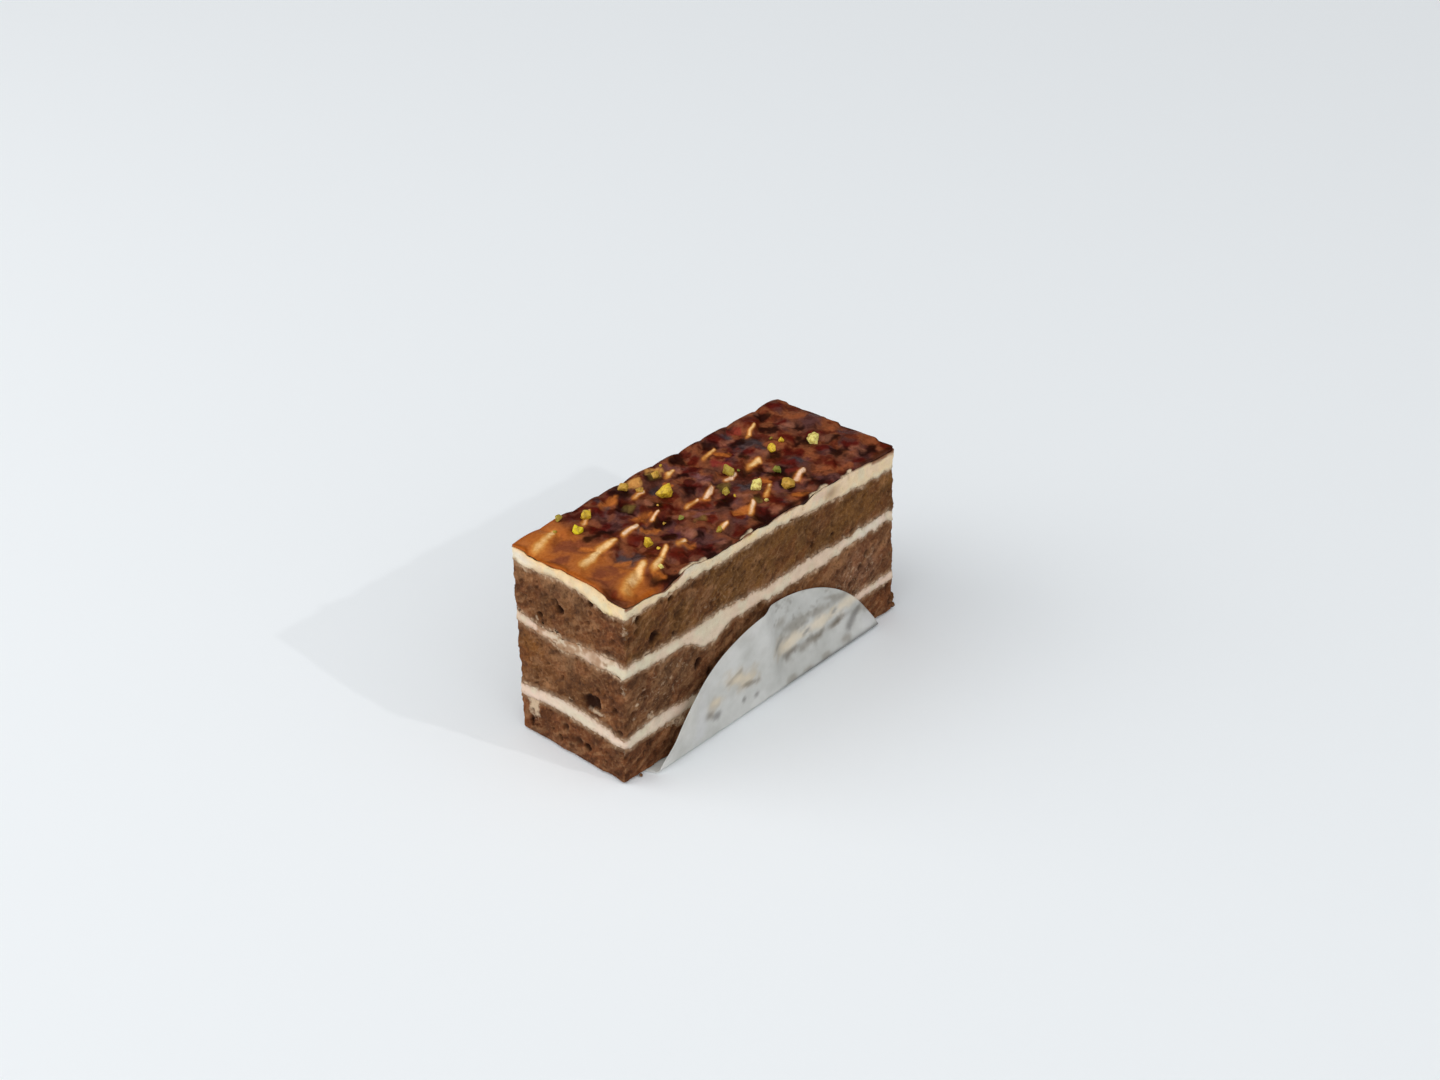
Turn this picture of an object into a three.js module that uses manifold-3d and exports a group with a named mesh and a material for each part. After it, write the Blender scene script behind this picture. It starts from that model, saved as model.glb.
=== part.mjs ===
// A hand-cut slice of layered gateau standing on its round film liner, in millimetres, +Z up.
// Cocoa sponges and creams are stacked as real layers. The top cream is dabbed in rows, browned
// under a caramel glaze and sprinkled with chopped pistachio. The liner is one film disc that lies
// under the slice and is folded up against both long sides.
// Origin: on the surface the slice stands on, under the middle. +X runs along the slice and -Y is
// its front, the long cut side.
import * as THREE from "three";
import { mergeVertices } from "three/addons/utils/BufferGeometryUtils.js";
import Module from "manifold-3d";

const wasm = await Module();
wasm.setup();

// Driving dimensions of the slice
const LENGTH = 105;
const WIDTH = 40;
const HEIGHT = 54.5;
const CORNER_RADIUS = 0.9;
const FOOT_RADIUS = 1.0;

// How far each hand-cut corner lies from the nominal box, [x, y], at the foot and at the crown
const CORNERS = [
  { side: [-1, -1], foot: [-1.4, 1.1], crown: [-1.5, -0.5] },
  { side: [1, -1], foot: [1.4, 0.0], crown: [-1.3, -0.1] },
  { side: [1, 1], foot: [0.7, -1.1], crown: [-2.2, 0.4] },
  { side: [-1, 1], foot: [-1.1, -2.0], crown: [0.9, 1.3] },
];

// Where one layer meets the next, from the underside up to the glaze. Each surface has a level, a rise
// along X from the middle to the far end, a ripple, and swells that are local humps or, if negative, dips.
const SURFACES = [
  { level: 0.5, rise: 0, ripple: 0, swells: [] },
  {
    level: 11.1,
    rise: -0.1,
    ripple: 0.25,
    swells: [
      { at: [-52, 16], height: -1.2, radius: 3.5 },
      { at: [-53, 2], height: 0.6, radius: 12 },
    ],
  },
  {
    level: 14.15,
    rise: -0.75,
    ripple: 0.25,
    swells: [
      { at: [-53, 20], height: -1.1, radius: 10 },
      { at: [-53, 0], height: 1.1, radius: 9 },
      { at: [-53, -19], height: -0.7, radius: 7 },
      { at: [-40, -20], height: 0.7, radius: 9 },
    ],
  },
  {
    level: 32.0,
    rise: -1.0,
    ripple: 0.25,
    swells: [
      { at: [-23, -20], height: -4.2, radius: 7 },
      { at: [8, -20], height: -1.8, radius: 24 },
      { at: [-53, 2], height: -1.4, radius: 14 },
    ],
  },
  { level: 35.1, rise: -1.35, ripple: 0.25, swells: [{ at: [-53, 6], height: -1.75, radius: 14 }] },
  {
    level: 51.0,
    rise: 0,
    ripple: 0.2,
    swells: [
      { at: [46, -20], height: -3.4, radius: 32 },
      { at: [-53, -14.5], height: -1.6, radius: 4.5 },
      { at: [-53, 4], height: 0.7, radius: 9 },
      { at: [-53, 17], height: -1.6, radius: 7 },
    ],
  },
  { level: 53.4, rise: 0, ripple: 0.1, swells: [{ at: [-60, -3], height: 2.8, radius: 10 }] },
];
const RIPPLE_PERIOD = 31;
const RIPPLE_ACROSS = 0.6;
const RIPPLE_PHASES = [2.1, 1.3];
const LAYER_GAP = 0.1;

// The layers between those surfaces
const LAYERS = [
  { name: "sponge_bottom", kind: "sponge" },
  { name: "cream_lower", kind: "cream" },
  { name: "sponge_middle", kind: "sponge" },
  { name: "cream_upper", kind: "cream" },
  { name: "sponge_top", kind: "sponge" },
  { name: "cream_top", kind: "cream" },
];
const WALL_ROWS = { sponge: 3, cream: 2 };
const WALL_ROUGHNESS = { sponge: 0.22, cream: 0.1 };
const WALL_STANDS_PROUD = { sponge: 0, cream: 0.12 };
const WALL_WAVES = [
  { turn: [0.71, 0.53, 0.37], phase: 0, share: 0.6 },
  { turn: [1.13, -0.91, 0.83], phase: 2, share: 0.4 },
];

// Outline sampling
const SIDE_STEPS = [30, 12, 30, 12];
const CORNER_STEPS = 2;
const CAP_INSET = 5;

// Dabs of the browned top: rows run along X, shifted and bowed, and each dab has a steep, slanted front lip
const DAB_PITCH = 10.1;
const DAB_ROW_PITCH = 14.3;
const DAB_COLUMNS = 12;
const DAB_ROWS = 4;
const DAB_START = { x: -56.2, lip: -29.0 };
const DAB_ROW_SHIFTS = [
  { from: -30, to: -16, by: 4.2 },
  { from: 20, to: 36, by: -2.0 },
];
const DAB_HALF_LENGTH = 6.0;
const DAB_BACK = 16;
const DAB_FRONT = 1.9;
const DAB_HEIGHT = 1.15;
const DAB_HEIGHT_SHARES = [0.75, 1.15];
const DAB_SIDE_POWER = 2.6;
const DAB_CROWN_POWER = 0.8;
const DAB_REAR_FALL = 0.9;
const DAB_WANDER = 0.8;
const DAB_SLANT = 0.42;
const DAB_BOW = 0.9;
const DAB_BOW_PERIOD = 13;
const DAB_BOW_SKEWS = [0.4, -0.6];
const DAB_BOW_PHASE = 2;
const GLAZE_THICKNESS = 0.5;
const CREAM_SHARE_OF_DABS = 0.6;
const GLAZE_STEP = 1.8;
const GLAZE_MARGIN = 8;
const GLAZE_ROOF = HEIGHT + 4 * DAB_HEIGHT;

// Chopped pistachio: [x, y] of each nib on the top, and its size
const NIBS = [
  { at: [-36.3, 19.6], size: 2.8 },
  { at: [-36.5, 12.6], size: 4.0 },
  { at: [-30.5, 15.5], size: 4.0 },
  { at: [-14.4, 17.7], size: 3.0 },
  { at: [-3.6, 16.4], size: 2.8 },
  { at: [-8.9, 8.0], size: 4.4 },
  { at: [-14.7, -2.9], size: 2.0 },
  { at: [-29.6, -5.3], size: 3.0 },
  { at: [-36.0, -15.6], size: 2.3 },
  { at: [-12.5, -14.2], size: 2.2 },
  { at: [10.3, 3.1], size: 4.0 },
  { at: [2.2, -3.2], size: 3.0 },
  { at: [8.7, -8.1], size: 4.0 },
  { at: [27.2, 2.5], size: 3.6 },
  { at: [20.1, -5.5], size: 3.0 },
  { at: [16.1, -12.6], size: 4.2 },
  { at: [38.9, -1.9], size: 4.6 },
  { at: [31.9, 3.4], size: 2.4 },
  { at: [-11.9, 14.1], size: 2.2 },
];
const NIB_SINK = 0.4;
const NIB_SEED = 100;

// A lump is stretched on each axis by a draw between these shares
const LUMP_STRETCHES = [
  [0.8, 1.3],
  [0.75, 1.15],
  [0.7, 1.0],
];

// Open crumb: the deepest holes, placed by the share of the way round the cut sides, and smaller pits
// spread over all sides. One loose crumb clings to the foot of the far front corner.
const CRUMB_HOLES = [
  { along: 0.96, z: 19.9, size: 2.7 },
  { along: 0.97, z: 20.9, size: 2.4 },
  { along: 0.06, z: 40.4, size: 2.0 },
  { along: 0.109, z: 24.0, size: 1.8 },
];
const LOOSE_CRUMB = { at: [53.6, -18.6, 4.0], size: 3.4, seed: 107 };
const PIT_COUNT = 26;
const PIT_SIZE = [0.9, 1.7];
const PIT_SEED = 7;
const PIT_WIDENING = 1.6;
const PIT_STEPS = { along: 0.618034, up: 0.7548777 };
const PIT_HEIGHTS = [2, 49.5];

// Film liner: a round film that lies under the slice, with both sides folded up
const LINER_RADIUS = 50;
const LINER_FOLD = 22.3;
const LINER_BEND = 1.2;
const LINER_THICKNESS = 0.3;
const LINER_CLEARANCE = 0.35;
const LINER_LEAN_HEIGHT = 9;
const LINER_CREASE = 5.25;
const LINER_CREASE_SLANT = 0.25;
const LINER_CREASE_HALF = 3;
const LINER_LOOSE_GAP = 1.9;
const LINER_FLARE = 2.2;
const LINER_FLARE_RANGE = [20, 45];
const LINER_COLUMNS = 16;
const LINER_FLAP_ROWS = 7;
const LINER_BEND_ROWS = 2;
const LINER_BASE_ROWS = 6;
const LINER_LAST_ROW_SHARE = 0.5;

// Points closer than this are one point of a solid
const MERGE_DISTANCE = 1e-4;

const lerp = THREE.MathUtils.lerp;
const smoothstep = THREE.MathUtils.smoothstep;

// Repeatable draw between 0 and 1 for a pair of whole numbers
function draw(i, j) {
  const wave = Math.sin(i * 12.9898 + j * 78.233) * 43758.5453;
  return wave - Math.floor(wave);
}

// Closed outline of the slice at height z, as points with their outward directions
function outline(z) {
  const up = THREE.MathUtils.clamp(z / HEIGHT, 0, 1);
  const tuck = z < FOOT_RADIUS ? FOOT_RADIUS - Math.sqrt(FOOT_RADIUS ** 2 - (FOOT_RADIUS - z) ** 2) : 0;
  const corners = CORNERS.map(({ side, foot, crown }) => {
    const x = (side[0] * LENGTH) / 2 + lerp(foot[0], crown[0], up) - side[0] * tuck;
    const y = (side[1] * WIDTH) / 2 + lerp(foot[1], crown[1], up) - side[1] * tuck;
    return new THREE.Vector2(x, y);
  });
  const points = [];
  corners.forEach((corner, k) => {
    const before = corners[(k + 3) % 4];
    const after = corners[(k + 1) % 4];
    const start = corner.clone().add(before.clone().sub(corner).setLength(CORNER_RADIUS));
    const end = corner.clone().add(after.clone().sub(corner).setLength(CORNER_RADIUS));
    points.push(...new THREE.QuadraticBezierCurve(start, corner, end).getPoints(CORNER_STEPS));
    const nextStart = after.clone().add(corner.clone().sub(after).setLength(CORNER_RADIUS));
    for (let i = 1; i < SIDE_STEPS[k]; i++) points.push(end.clone().lerp(nextStart, i / SIDE_STEPS[k]));
  });
  return points.map((point, i) => {
    const before = points[(i + points.length - 1) % points.length];
    const after = points[(i + 1) % points.length];
    const tangent = after.clone().sub(before).normalize();
    return { point, out: new THREE.Vector2(tangent.y, -tangent.x) };
  });
}

// Height of surface k over the point x, y
function surfaceHeight(k, x, y) {
  const { level, rise, ripple, swells } = SURFACES[k];
  const turn = (2 * Math.PI) / RIPPLE_PERIOD;
  let z = level + (rise * x) / (LENGTH / 2);
  const along = Math.sin(turn * x + RIPPLE_PHASES[0] * k);
  z += ripple * along * Math.cos(RIPPLE_ACROSS * turn * y + RIPPLE_PHASES[1] * k);
  for (const { at, height, radius } of swells) {
    z += height * Math.exp(-((x - at[0]) ** 2 + (y - at[1]) ** 2) / radius ** 2);
  }
  return z;
}

// Height of the dabs over the glaze's base: the highest of the overlapping dabs, on a grid that bows
function dabHeight(atX, atY) {
  const turn = (2 * Math.PI) / DAB_BOW_PERIOD;
  const x = atX + DAB_BOW * Math.sin(turn * (atY + DAB_BOW_SKEWS[0] * atX));
  const y = atY + DAB_BOW * Math.sin(turn * (atX + DAB_BOW_SKEWS[1] * atY) + DAB_BOW_PHASE);
  let shift = 0;
  for (const { from, to, by } of DAB_ROW_SHIFTS) shift += by * smoothstep(x, from, to);
  let height = 0;
  for (let row = 0; row < DAB_ROWS; row++) {
    for (let column = 0; column < DAB_COLUMNS; column++) {
      const middle = DAB_START.x + column * DAB_PITCH + DAB_WANDER * (2 * draw(row, column) - 1);
      const lip = DAB_START.lip + row * DAB_ROW_PITCH + DAB_WANDER * (2 * draw(column, row + 7) - 1);
      const behind = y - lip - shift - DAB_SLANT * (x - middle);
      const aside = Math.abs(x - middle) / DAB_HALF_LENGTH;
      const across = Math.max(0, 1 - aside ** DAB_SIDE_POWER) ** DAB_CROWN_POWER;
      const rear = 1 - DAB_REAR_FALL * smoothstep(behind, 0, DAB_BACK);
      const along = behind < 0 ? smoothstep(behind, -DAB_FRONT, 0) : rear;
      const grown = DAB_HEIGHT * lerp(...DAB_HEIGHT_SHARES, draw(row + 3, column + 5));
      height = Math.max(height, grown * across * along);
    }
  }
  return height;
}

// Height of layer surface k as built: the last one also carries its share of the dabs
function layerSurface(k, x, y, nearEdge) {
  const dabs = k === SURFACES.length - 1 && nearEdge ? CREAM_SHARE_OF_DABS * dabHeight(x, y) : 0;
  return surfaceHeight(k, x, y) + dabs;
}

function wallOffset(kind, point, z) {
  let wave = 0;
  for (const { turn, phase, share } of WALL_WAVES) {
    wave += share * Math.sin(turn[0] * point.x + turn[1] * point.y + turn[2] * z + phase);
  }
  return WALL_STANDS_PROUD[kind] + WALL_ROUGHNESS[kind] * wave;
}

function geometryFrom(vertices, triangles) {
  const geometry = new THREE.BufferGeometry();
  geometry.setAttribute("position", new THREE.Float32BufferAttribute(vertices.flat(), 3));
  geometry.setIndex(triangles.flat());
  return geometry;
}

function toSolid(geometry) {
  const bare = geometry.clone();
  bare.deleteAttribute("normal");
  bare.deleteAttribute("uv");
  const merged = mergeVertices(bare, MERGE_DISTANCE);
  const vertProperties = new Float32Array(merged.attributes.position.array);
  const triVerts = new Uint32Array(merged.index.array);
  return new wasm.Manifold(new wasm.Mesh({ numProp: 3, vertProperties, triVerts }));
}

function toGeometry(solid) {
  const { vertProperties, triVerts } = solid.getMesh();
  const geometry = new THREE.BufferGeometry();
  geometry.setAttribute("position", new THREE.BufferAttribute(new Float32Array(vertProperties), 3));
  geometry.setIndex(new THREE.BufferAttribute(new Uint32Array(triVerts), 1));
  geometry.computeVertexNormals();
  return geometry;
}

// Closed layer with rough cut sides all round. Bottom and top are faces with a level, used to sample the
// outline, and a height over each point, so that neighbouring layers share the same face.
function stackLayer(kind, bottom, top) {
  const guides = [bottom, top].map(({ level }) => outline(level).map(({ point }) => point));
  const count = guides[0].length;
  const rows = WALL_ROWS[kind];
  const vertices = [];
  const triangles = [];
  for (let row = 0; row <= rows; row++) {
    for (let i = 0; i < count; i++) {
      const low = bottom.height(guides[0][i].x, guides[0][i].y, true);
      const high = top.height(guides[1][i].x, guides[1][i].y, true);
      const z = lerp(low, high, row / rows);
      const { point, out } = outline(z)[i];
      const place = point.clone().addScaledVector(out, wallOffset(kind, point, z));
      vertices.push([place.x, place.y, z]);
    }
  }
  for (let row = 0; row < rows; row++) {
    for (let i = 0; i < count; i++) {
      const a = row * count + i;
      const b = row * count + ((i + 1) % count);
      triangles.push([a, b, a + count], [b, b + count, a + count]);
    }
  }
  const inset = new THREE.Vector2(1 - (2 * CAP_INSET) / LENGTH, 1 - (2 * CAP_INSET) / WIDTH);
  [bottom, top].forEach(({ height }, face) => {
    const firstOuter = face * rows * count;
    const firstInner = vertices.length;
    const inner = guides[face].map((point) => point.clone().multiply(inset));
    inner.forEach((p) => vertices.push([p.x, p.y, height(p.x, p.y, false)]));
    const fill = THREE.ShapeUtils.triangulateShape(inner, []);
    const faces = fill.map((corners) => corners.map((v) => v + firstInner));
    for (let i = 0; i < count; i++) {
      const next = (i + 1) % count;
      faces.push([firstOuter + i, firstOuter + next, firstInner + i]);
      faces.push([firstOuter + next, firstInner + next, firstInner + i]);
    }
    faces.forEach(([a, b, c]) => triangles.push(face ? [a, b, c] : [a, c, b]));
  });
  return geometryFrom(vertices, triangles);
}

// Face of a layer on surface k, moved by half the gap between layers
function layerFace(k, shift) {
  const height = (x, y, nearEdge) => layerSurface(k, x, y, nearEdge) + (shift * LAYER_GAP) / 2;
  return { level: SURFACES[k].level, height };
}

function foodLayer(k) {
  return stackLayer(LAYERS[k].kind, layerFace(k, 1), layerFace(k + 1, -1));
}

// A lump with few flat faces, squashed and turned by its own draws
function lump(size, key) {
  const geometry = new THREE.IcosahedronGeometry(size / 2, 0);
  geometry.scale(...LUMP_STRETCHES.map((shares, axis) => lerp(...shares, draw(key, axis + 1))));
  geometry.rotateX(Math.PI * draw(key, 4));
  geometry.rotateZ(2 * Math.PI * draw(key, 5));
  return geometry;
}

// Open holes of the crumb in one sponge, cut where the holes' heights fall inside it
function withPits(geometry, lowest, highest) {
  const holes = CRUMB_HOLES.map((hole, i) => ({ ...hole, key: PIT_SEED - i }));
  for (let i = 1; i <= PIT_COUNT; i++) {
    holes.push({
      along: (i * PIT_STEPS.along) % 1,
      z: lerp(...PIT_HEIGHTS, (i * PIT_STEPS.up) % 1),
      size: lerp(...PIT_SIZE, draw(i, PIT_SEED)),
      key: PIT_SEED + i,
    });
  }
  let solid = toSolid(geometry);
  for (const { along, z, size, key } of holes) {
    if (z - size < lowest || z + size > highest) continue;
    const ring = outline(z);
    const { point } = ring[Math.floor(along * ring.length)];
    solid = solid.subtract(toSolid(lump(size * PIT_WIDENING, key).translate(point.x, point.y, z)));
  }
  return toGeometry(solid);
}

function withLooseCrumb(geometry) {
  const crumb = lump(LOOSE_CRUMB.size, LOOSE_CRUMB.seed).translate(...LOOSE_CRUMB.at);
  return toGeometry(toSolid(geometry).add(toSolid(crumb)));
}

function glazeHeight(x, y) {
  return surfaceHeight(SURFACES.length - 1, x, y) + GLAZE_THICKNESS + dabHeight(x, y);
}

// Block with the dabbed glaze as its top face and a flat underside, larger than the slice
function reliefBlock() {
  const columns = Math.ceil((LENGTH + GLAZE_MARGIN) / GLAZE_STEP);
  const rows = Math.ceil((WIDTH + GLAZE_MARGIN) / GLAZE_STEP);
  const geometry = new THREE.BoxGeometry(columns * GLAZE_STEP, rows * GLAZE_STEP, 1, columns, rows, 1);
  const position = geometry.attributes.position;
  const floor = SURFACES[SURFACES.length - 2].level;
  for (let i = 0; i < position.count; i++) {
    const x = position.getX(i);
    const y = position.getY(i);
    position.setZ(i, position.getZ(i) > 0 ? glazeHeight(x, y) : floor);
  }
  return geometry;
}

function glaze() {
  const roof = { level: GLAZE_ROOF, height: () => GLAZE_ROOF };
  const column = stackLayer("cream", layerFace(SURFACES.length - 1, 1), roof);
  let solid = toSolid(column).intersect(toSolid(reliefBlock()));
  NIBS.forEach(({ at, size }, i) => {
    const nib = lump(size, NIB_SEED + i);
    nib.computeBoundingBox();
    const z = glazeHeight(at[0], at[1]) - NIB_SINK - nib.boundingBox.min.z;
    solid = solid.add(toSolid(nib.translate(at[0], at[1], z)));
  });
  return toGeometry(solid);
}

// Cut side of the slice facing the fold at side -1 (front) or 1 (back): its distance from the X axis
function sideDistance(side, x, z) {
  const up = THREE.MathUtils.clamp(z / HEIGHT, 0, 1);
  const ends = CORNERS.filter((corner) => corner.side[1] === side);
  const near = ends.find((corner) => corner.side[0] < 0);
  const far = ends.find((corner) => corner.side[0] > 0);
  const along = THREE.MathUtils.clamp(x / LENGTH + 0.5, 0, 1);
  const cut = lerp(lerp(near.foot[1], near.crown[1], up), lerp(far.foot[1], far.crown[1], up), along);
  return WIDTH / 2 + side * cut + WALL_ROUGHNESS.sponge + WALL_STANDS_PROUD.cream;
}

// Distance of a folded-up flap from the X axis: it leans in to the slice and, on the near end's side of a
// slanted crease, stays loose
function flapDistance(side, x, z) {
  const crease = LINER_CREASE - LINER_CREASE_SLANT * z;
  const loose = 1 - smoothstep(x, crease - LINER_CREASE_HALF, crease + LINER_CREASE_HALF);
  const flare = smoothstep(-x, ...LINER_FLARE_RANGE);
  const gap = LINER_CLEARANCE + LINER_LOOSE_GAP * loose + LINER_FLARE * flare;
  const leaning = smoothstep(z, 0, LINER_LEAN_HEIGHT);
  return lerp(LINER_FOLD, sideDistance(side, x, z) + gap, leaning);
}

// Middle surface of the liner at x and at the distance v from the disc's diameter along X
function linerPoint(x, v) {
  const side = Math.sign(v);
  const reach = Math.abs(v);
  const bendStart = LINER_FOLD - LINER_BEND;
  const bendLength = (Math.PI / 2) * LINER_BEND;
  const middle = LINER_THICKNESS / 2;
  if (reach <= bendStart) return new THREE.Vector3(x, v, middle);
  const angle = Math.min((reach - bendStart) / LINER_BEND, Math.PI / 2);
  const height = LINER_BEND * (1 - Math.cos(angle)) + Math.max(0, reach - bendStart - bendLength);
  const inside = bendStart + LINER_BEND * Math.sin(angle) - LINER_FOLD;
  return new THREE.Vector3(x, side * (flapDistance(side, x, height) + inside), middle + height);
}

// Distances v of the rows across the liner, denser in the bends and towards the round edge
function linerRows() {
  const bendStart = LINER_FOLD - LINER_BEND;
  const bendEnd = bendStart + (Math.PI / 2) * LINER_BEND;
  const half = [];
  for (let i = 1; i <= LINER_BASE_ROWS / 2; i++) half.push((bendStart * 2 * i) / LINER_BASE_ROWS);
  for (let i = 1; i <= LINER_BEND_ROWS; i++) half.push(lerp(bendStart, bendEnd, i / LINER_BEND_ROWS));
  const startAngle = Math.asin(bendEnd / LINER_RADIUS);
  for (let i = 1; i <= LINER_FLAP_ROWS; i++) {
    const share = i / (LINER_FLAP_ROWS + LINER_LAST_ROW_SHARE);
    half.push(LINER_RADIUS * Math.sin(lerp(startAngle, Math.PI / 2, share)));
  }
  return [...half.map((v) => -v).reverse(), 0, ...half];
}

// The film disc, given its thickness to both sides of the middle surface
function liner() {
  const rows = linerRows();
  const columns = LINER_COLUMNS;
  const vertices = [];
  const triangles = [];
  const step = 0.01;
  for (const face of [1, -1]) {
    for (const v of rows) {
      const reach = Math.sqrt(LINER_RADIUS ** 2 - v ** 2);
      for (let i = 0; i <= columns; i++) {
        const x = reach * (-1 + (2 * i) / columns);
        const here = linerPoint(x, v);
        const alongX = linerPoint(x + step, v).sub(here);
        const alongV = linerPoint(x, v + step).sub(linerPoint(x, v - step));
        const normal = alongX.cross(alongV).normalize();
        vertices.push(here.addScaledVector(normal, (face * LINER_THICKNESS) / 2).toArray());
      }
    }
  }
  const width = columns + 1;
  const other = rows.length * width;
  const addQuad = (a, b, c, d) => triangles.push([a, b, c], [a, c, d]);
  for (let r = 0; r + 1 < rows.length; r++) {
    for (let i = 0; i < columns; i++) {
      const a = r * width + i;
      addQuad(a, a + 1, a + 1 + width, a + width);
      addQuad(other + a, other + a + width, other + a + 1 + width, other + a + 1);
    }
    const left = r * width;
    const right = left + columns;
    addQuad(left, left + width, other + left + width, other + left);
    addQuad(right, other + right, other + right + width, right + width);
  }
  for (let i = 0; i < columns; i++) {
    const front = i;
    const back = (rows.length - 1) * width + i;
    addQuad(front, other + front, other + front + 1, front + 1);
    addQuad(back, back + 1, other + back + 1, other + back);
  }
  return geometryFrom(vertices, triangles);
}

const MATERIALS = {
  sponge: new THREE.MeshStandardMaterial({ color: 0x704b30, roughness: 0.95, metalness: 0 }),
  cream: new THREE.MeshStandardMaterial({ color: 0xe2cdaf, roughness: 0.6, metalness: 0 }),
  glaze: new THREE.MeshStandardMaterial({ color: 0x784224, roughness: 0.2, metalness: 0 }),
  liner: new THREE.MeshStandardMaterial({ color: 0xd7d9d7, roughness: 0.3, metalness: 0 }),
};

const slice = new THREE.Group();

function addPiece(name, geometry, kind) {
  const mesh = new THREE.Mesh(geometry, MATERIALS[kind].clone());
  mesh.name = name;
  slice.add(mesh);
}

LAYERS.forEach(({ name, kind }, k) => {
  let geometry = foodLayer(k);
  if (kind === "sponge") geometry = withPits(geometry, SURFACES[k].level, SURFACES[k + 1].level);
  if (k === 0) geometry = withLooseCrumb(geometry);
  addPiece(name, geometry, kind);
});
addPiece("glaze", glaze(), "glaze");
addPiece("liner", liner(), "liner");

export default slice;
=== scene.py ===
# Looks of a hand-cut slice of layered gateau on its film liner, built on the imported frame.
# Shapes are worked out in millimetres, with the same formulas as the solids and finer detail on top,
# and are written in metres.
import itertools
import math

import bmesh
import bpy
import numpy as np
from mathutils import Euler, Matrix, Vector


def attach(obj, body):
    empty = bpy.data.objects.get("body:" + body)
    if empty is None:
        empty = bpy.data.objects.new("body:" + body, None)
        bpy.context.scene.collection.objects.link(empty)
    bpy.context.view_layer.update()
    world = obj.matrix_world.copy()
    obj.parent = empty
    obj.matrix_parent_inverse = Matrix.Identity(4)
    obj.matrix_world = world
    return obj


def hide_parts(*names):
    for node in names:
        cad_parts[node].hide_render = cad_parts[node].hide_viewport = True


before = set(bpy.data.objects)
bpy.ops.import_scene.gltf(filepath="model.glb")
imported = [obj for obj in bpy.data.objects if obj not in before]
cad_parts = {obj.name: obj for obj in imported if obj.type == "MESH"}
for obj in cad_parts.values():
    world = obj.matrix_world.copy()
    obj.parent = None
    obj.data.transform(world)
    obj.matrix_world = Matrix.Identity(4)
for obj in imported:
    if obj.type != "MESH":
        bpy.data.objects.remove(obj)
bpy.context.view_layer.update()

MM = 0.001

# The slice, as in the solids. Each corner has its side in plan and its shifts at the foot and the crown.
LENGTH = 105.0
WIDTH = 40.0
HEIGHT = 54.5
CORNER_RADIUS = 0.9
FOOT_RADIUS = 1.0
CORNERS = [
    ((-1, -1), (-1.4, 1.1), (-1.5, -0.5)),
    ((1, -1), (1.4, 0.0), (-1.3, -0.1)),
    ((1, 1), (0.7, -1.1), (-2.2, 0.4)),
    ((-1, 1), (-1.1, -2.0), (0.9, 1.3)),
]

# Where one layer meets the next: level, rise along X, ripple, and swells as (x, y, height, radius)
SURFACES = [
    (0.5, 0.0, 0.0, []),
    (11.1, -0.1, 0.25, [(-52, 16, -1.2, 3.5), (-53, 2, 0.6, 12)]),
    (14.15, -0.75, 0.25, [(-53, 20, -1.1, 10), (-53, 0, 1.1, 9), (-53, -19, -0.7, 7), (-40, -20, 0.7, 9)]),
    (32.0, -1.0, 0.25, [(-23, -20, -4.2, 7), (8, -20, -1.8, 24), (-53, 2, -1.4, 14)]),
    (35.1, -1.35, 0.25, [(-53, 6, -1.75, 14)]),
    (51.0, 0.0, 0.2, [(46, -20, -3.4, 32), (-53, -14.5, -1.6, 4.5), (-53, 4, 0.7, 9), (-53, 17, -1.6, 7)]),
    (53.4, 0.0, 0.1, [(-60, -3, 2.8, 10)]),
]
LEVELS = [surface[0] for surface in SURFACES]
LAST = len(SURFACES) - 1
RIPPLE_PERIOD = 31.0
LAYERS = ["sponge_bottom", "cream_lower", "sponge_middle", "cream_upper", "sponge_top", "cream_top"]
LAYER_GAP = 0.1
WALL_ROUGHNESS = {"sponge": 0.22, "cream": 0.1}
WALL_STANDS_PROUD = {"sponge": 0.0, "cream": 0.12}
WALL_STEP = 0.3
# How far and how finely a cut edge wanders, and how fast a layer's edge gives way to its neighbour's looks
EDGE_WANDER = [0.0, 0.7, 0.8, 1.4, 1.6, 1.0]
EDGE_GRAIN = 2.6
CREAM_FRINGE = 0.17
CRUMB_FRINGE = 0.22

# Dabs of the browned top, as in the solids
DAB_PITCH = 10.1
DAB_ROW_PITCH = 14.3
DAB_COLUMNS = 12
DAB_ROWS = 4
DAB_START_X = -56.2
DAB_START_LIP = -29.0
DAB_ROW_SHIFTS = [(-30, -16, 4.2), (20, 36, -2.0)]
DAB_HALF_LENGTH = 6.0
DAB_BACK = 16.0
DAB_FRONT = 1.9
DAB_HEIGHT = 1.15
DAB_WANDER = 0.8
DAB_SLANT = 0.42
DAB_BOW = 0.9
DAB_BOW_PERIOD = 13.0
GLAZE_THICKNESS = 0.5
CREAM_SHARE_OF_DABS = 0.6
GLAZE_STEP = 0.28
UNDERSIDE_INSET = 1.5
UNDERSIDE_DROP = 0.4
# Where the cream stands higher or lower along the cut edge of the glaze: x, height and half length
EDGE_RISES = [
    (-30, 1.5, 4.5), (-40, -0.8, 3), (-10, 0.4, 3), (14, -1.4, 1.8), (20, 0.7, 3.4), (31, 0.4, 4),
    (47, -0.7, 6),
]

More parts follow.
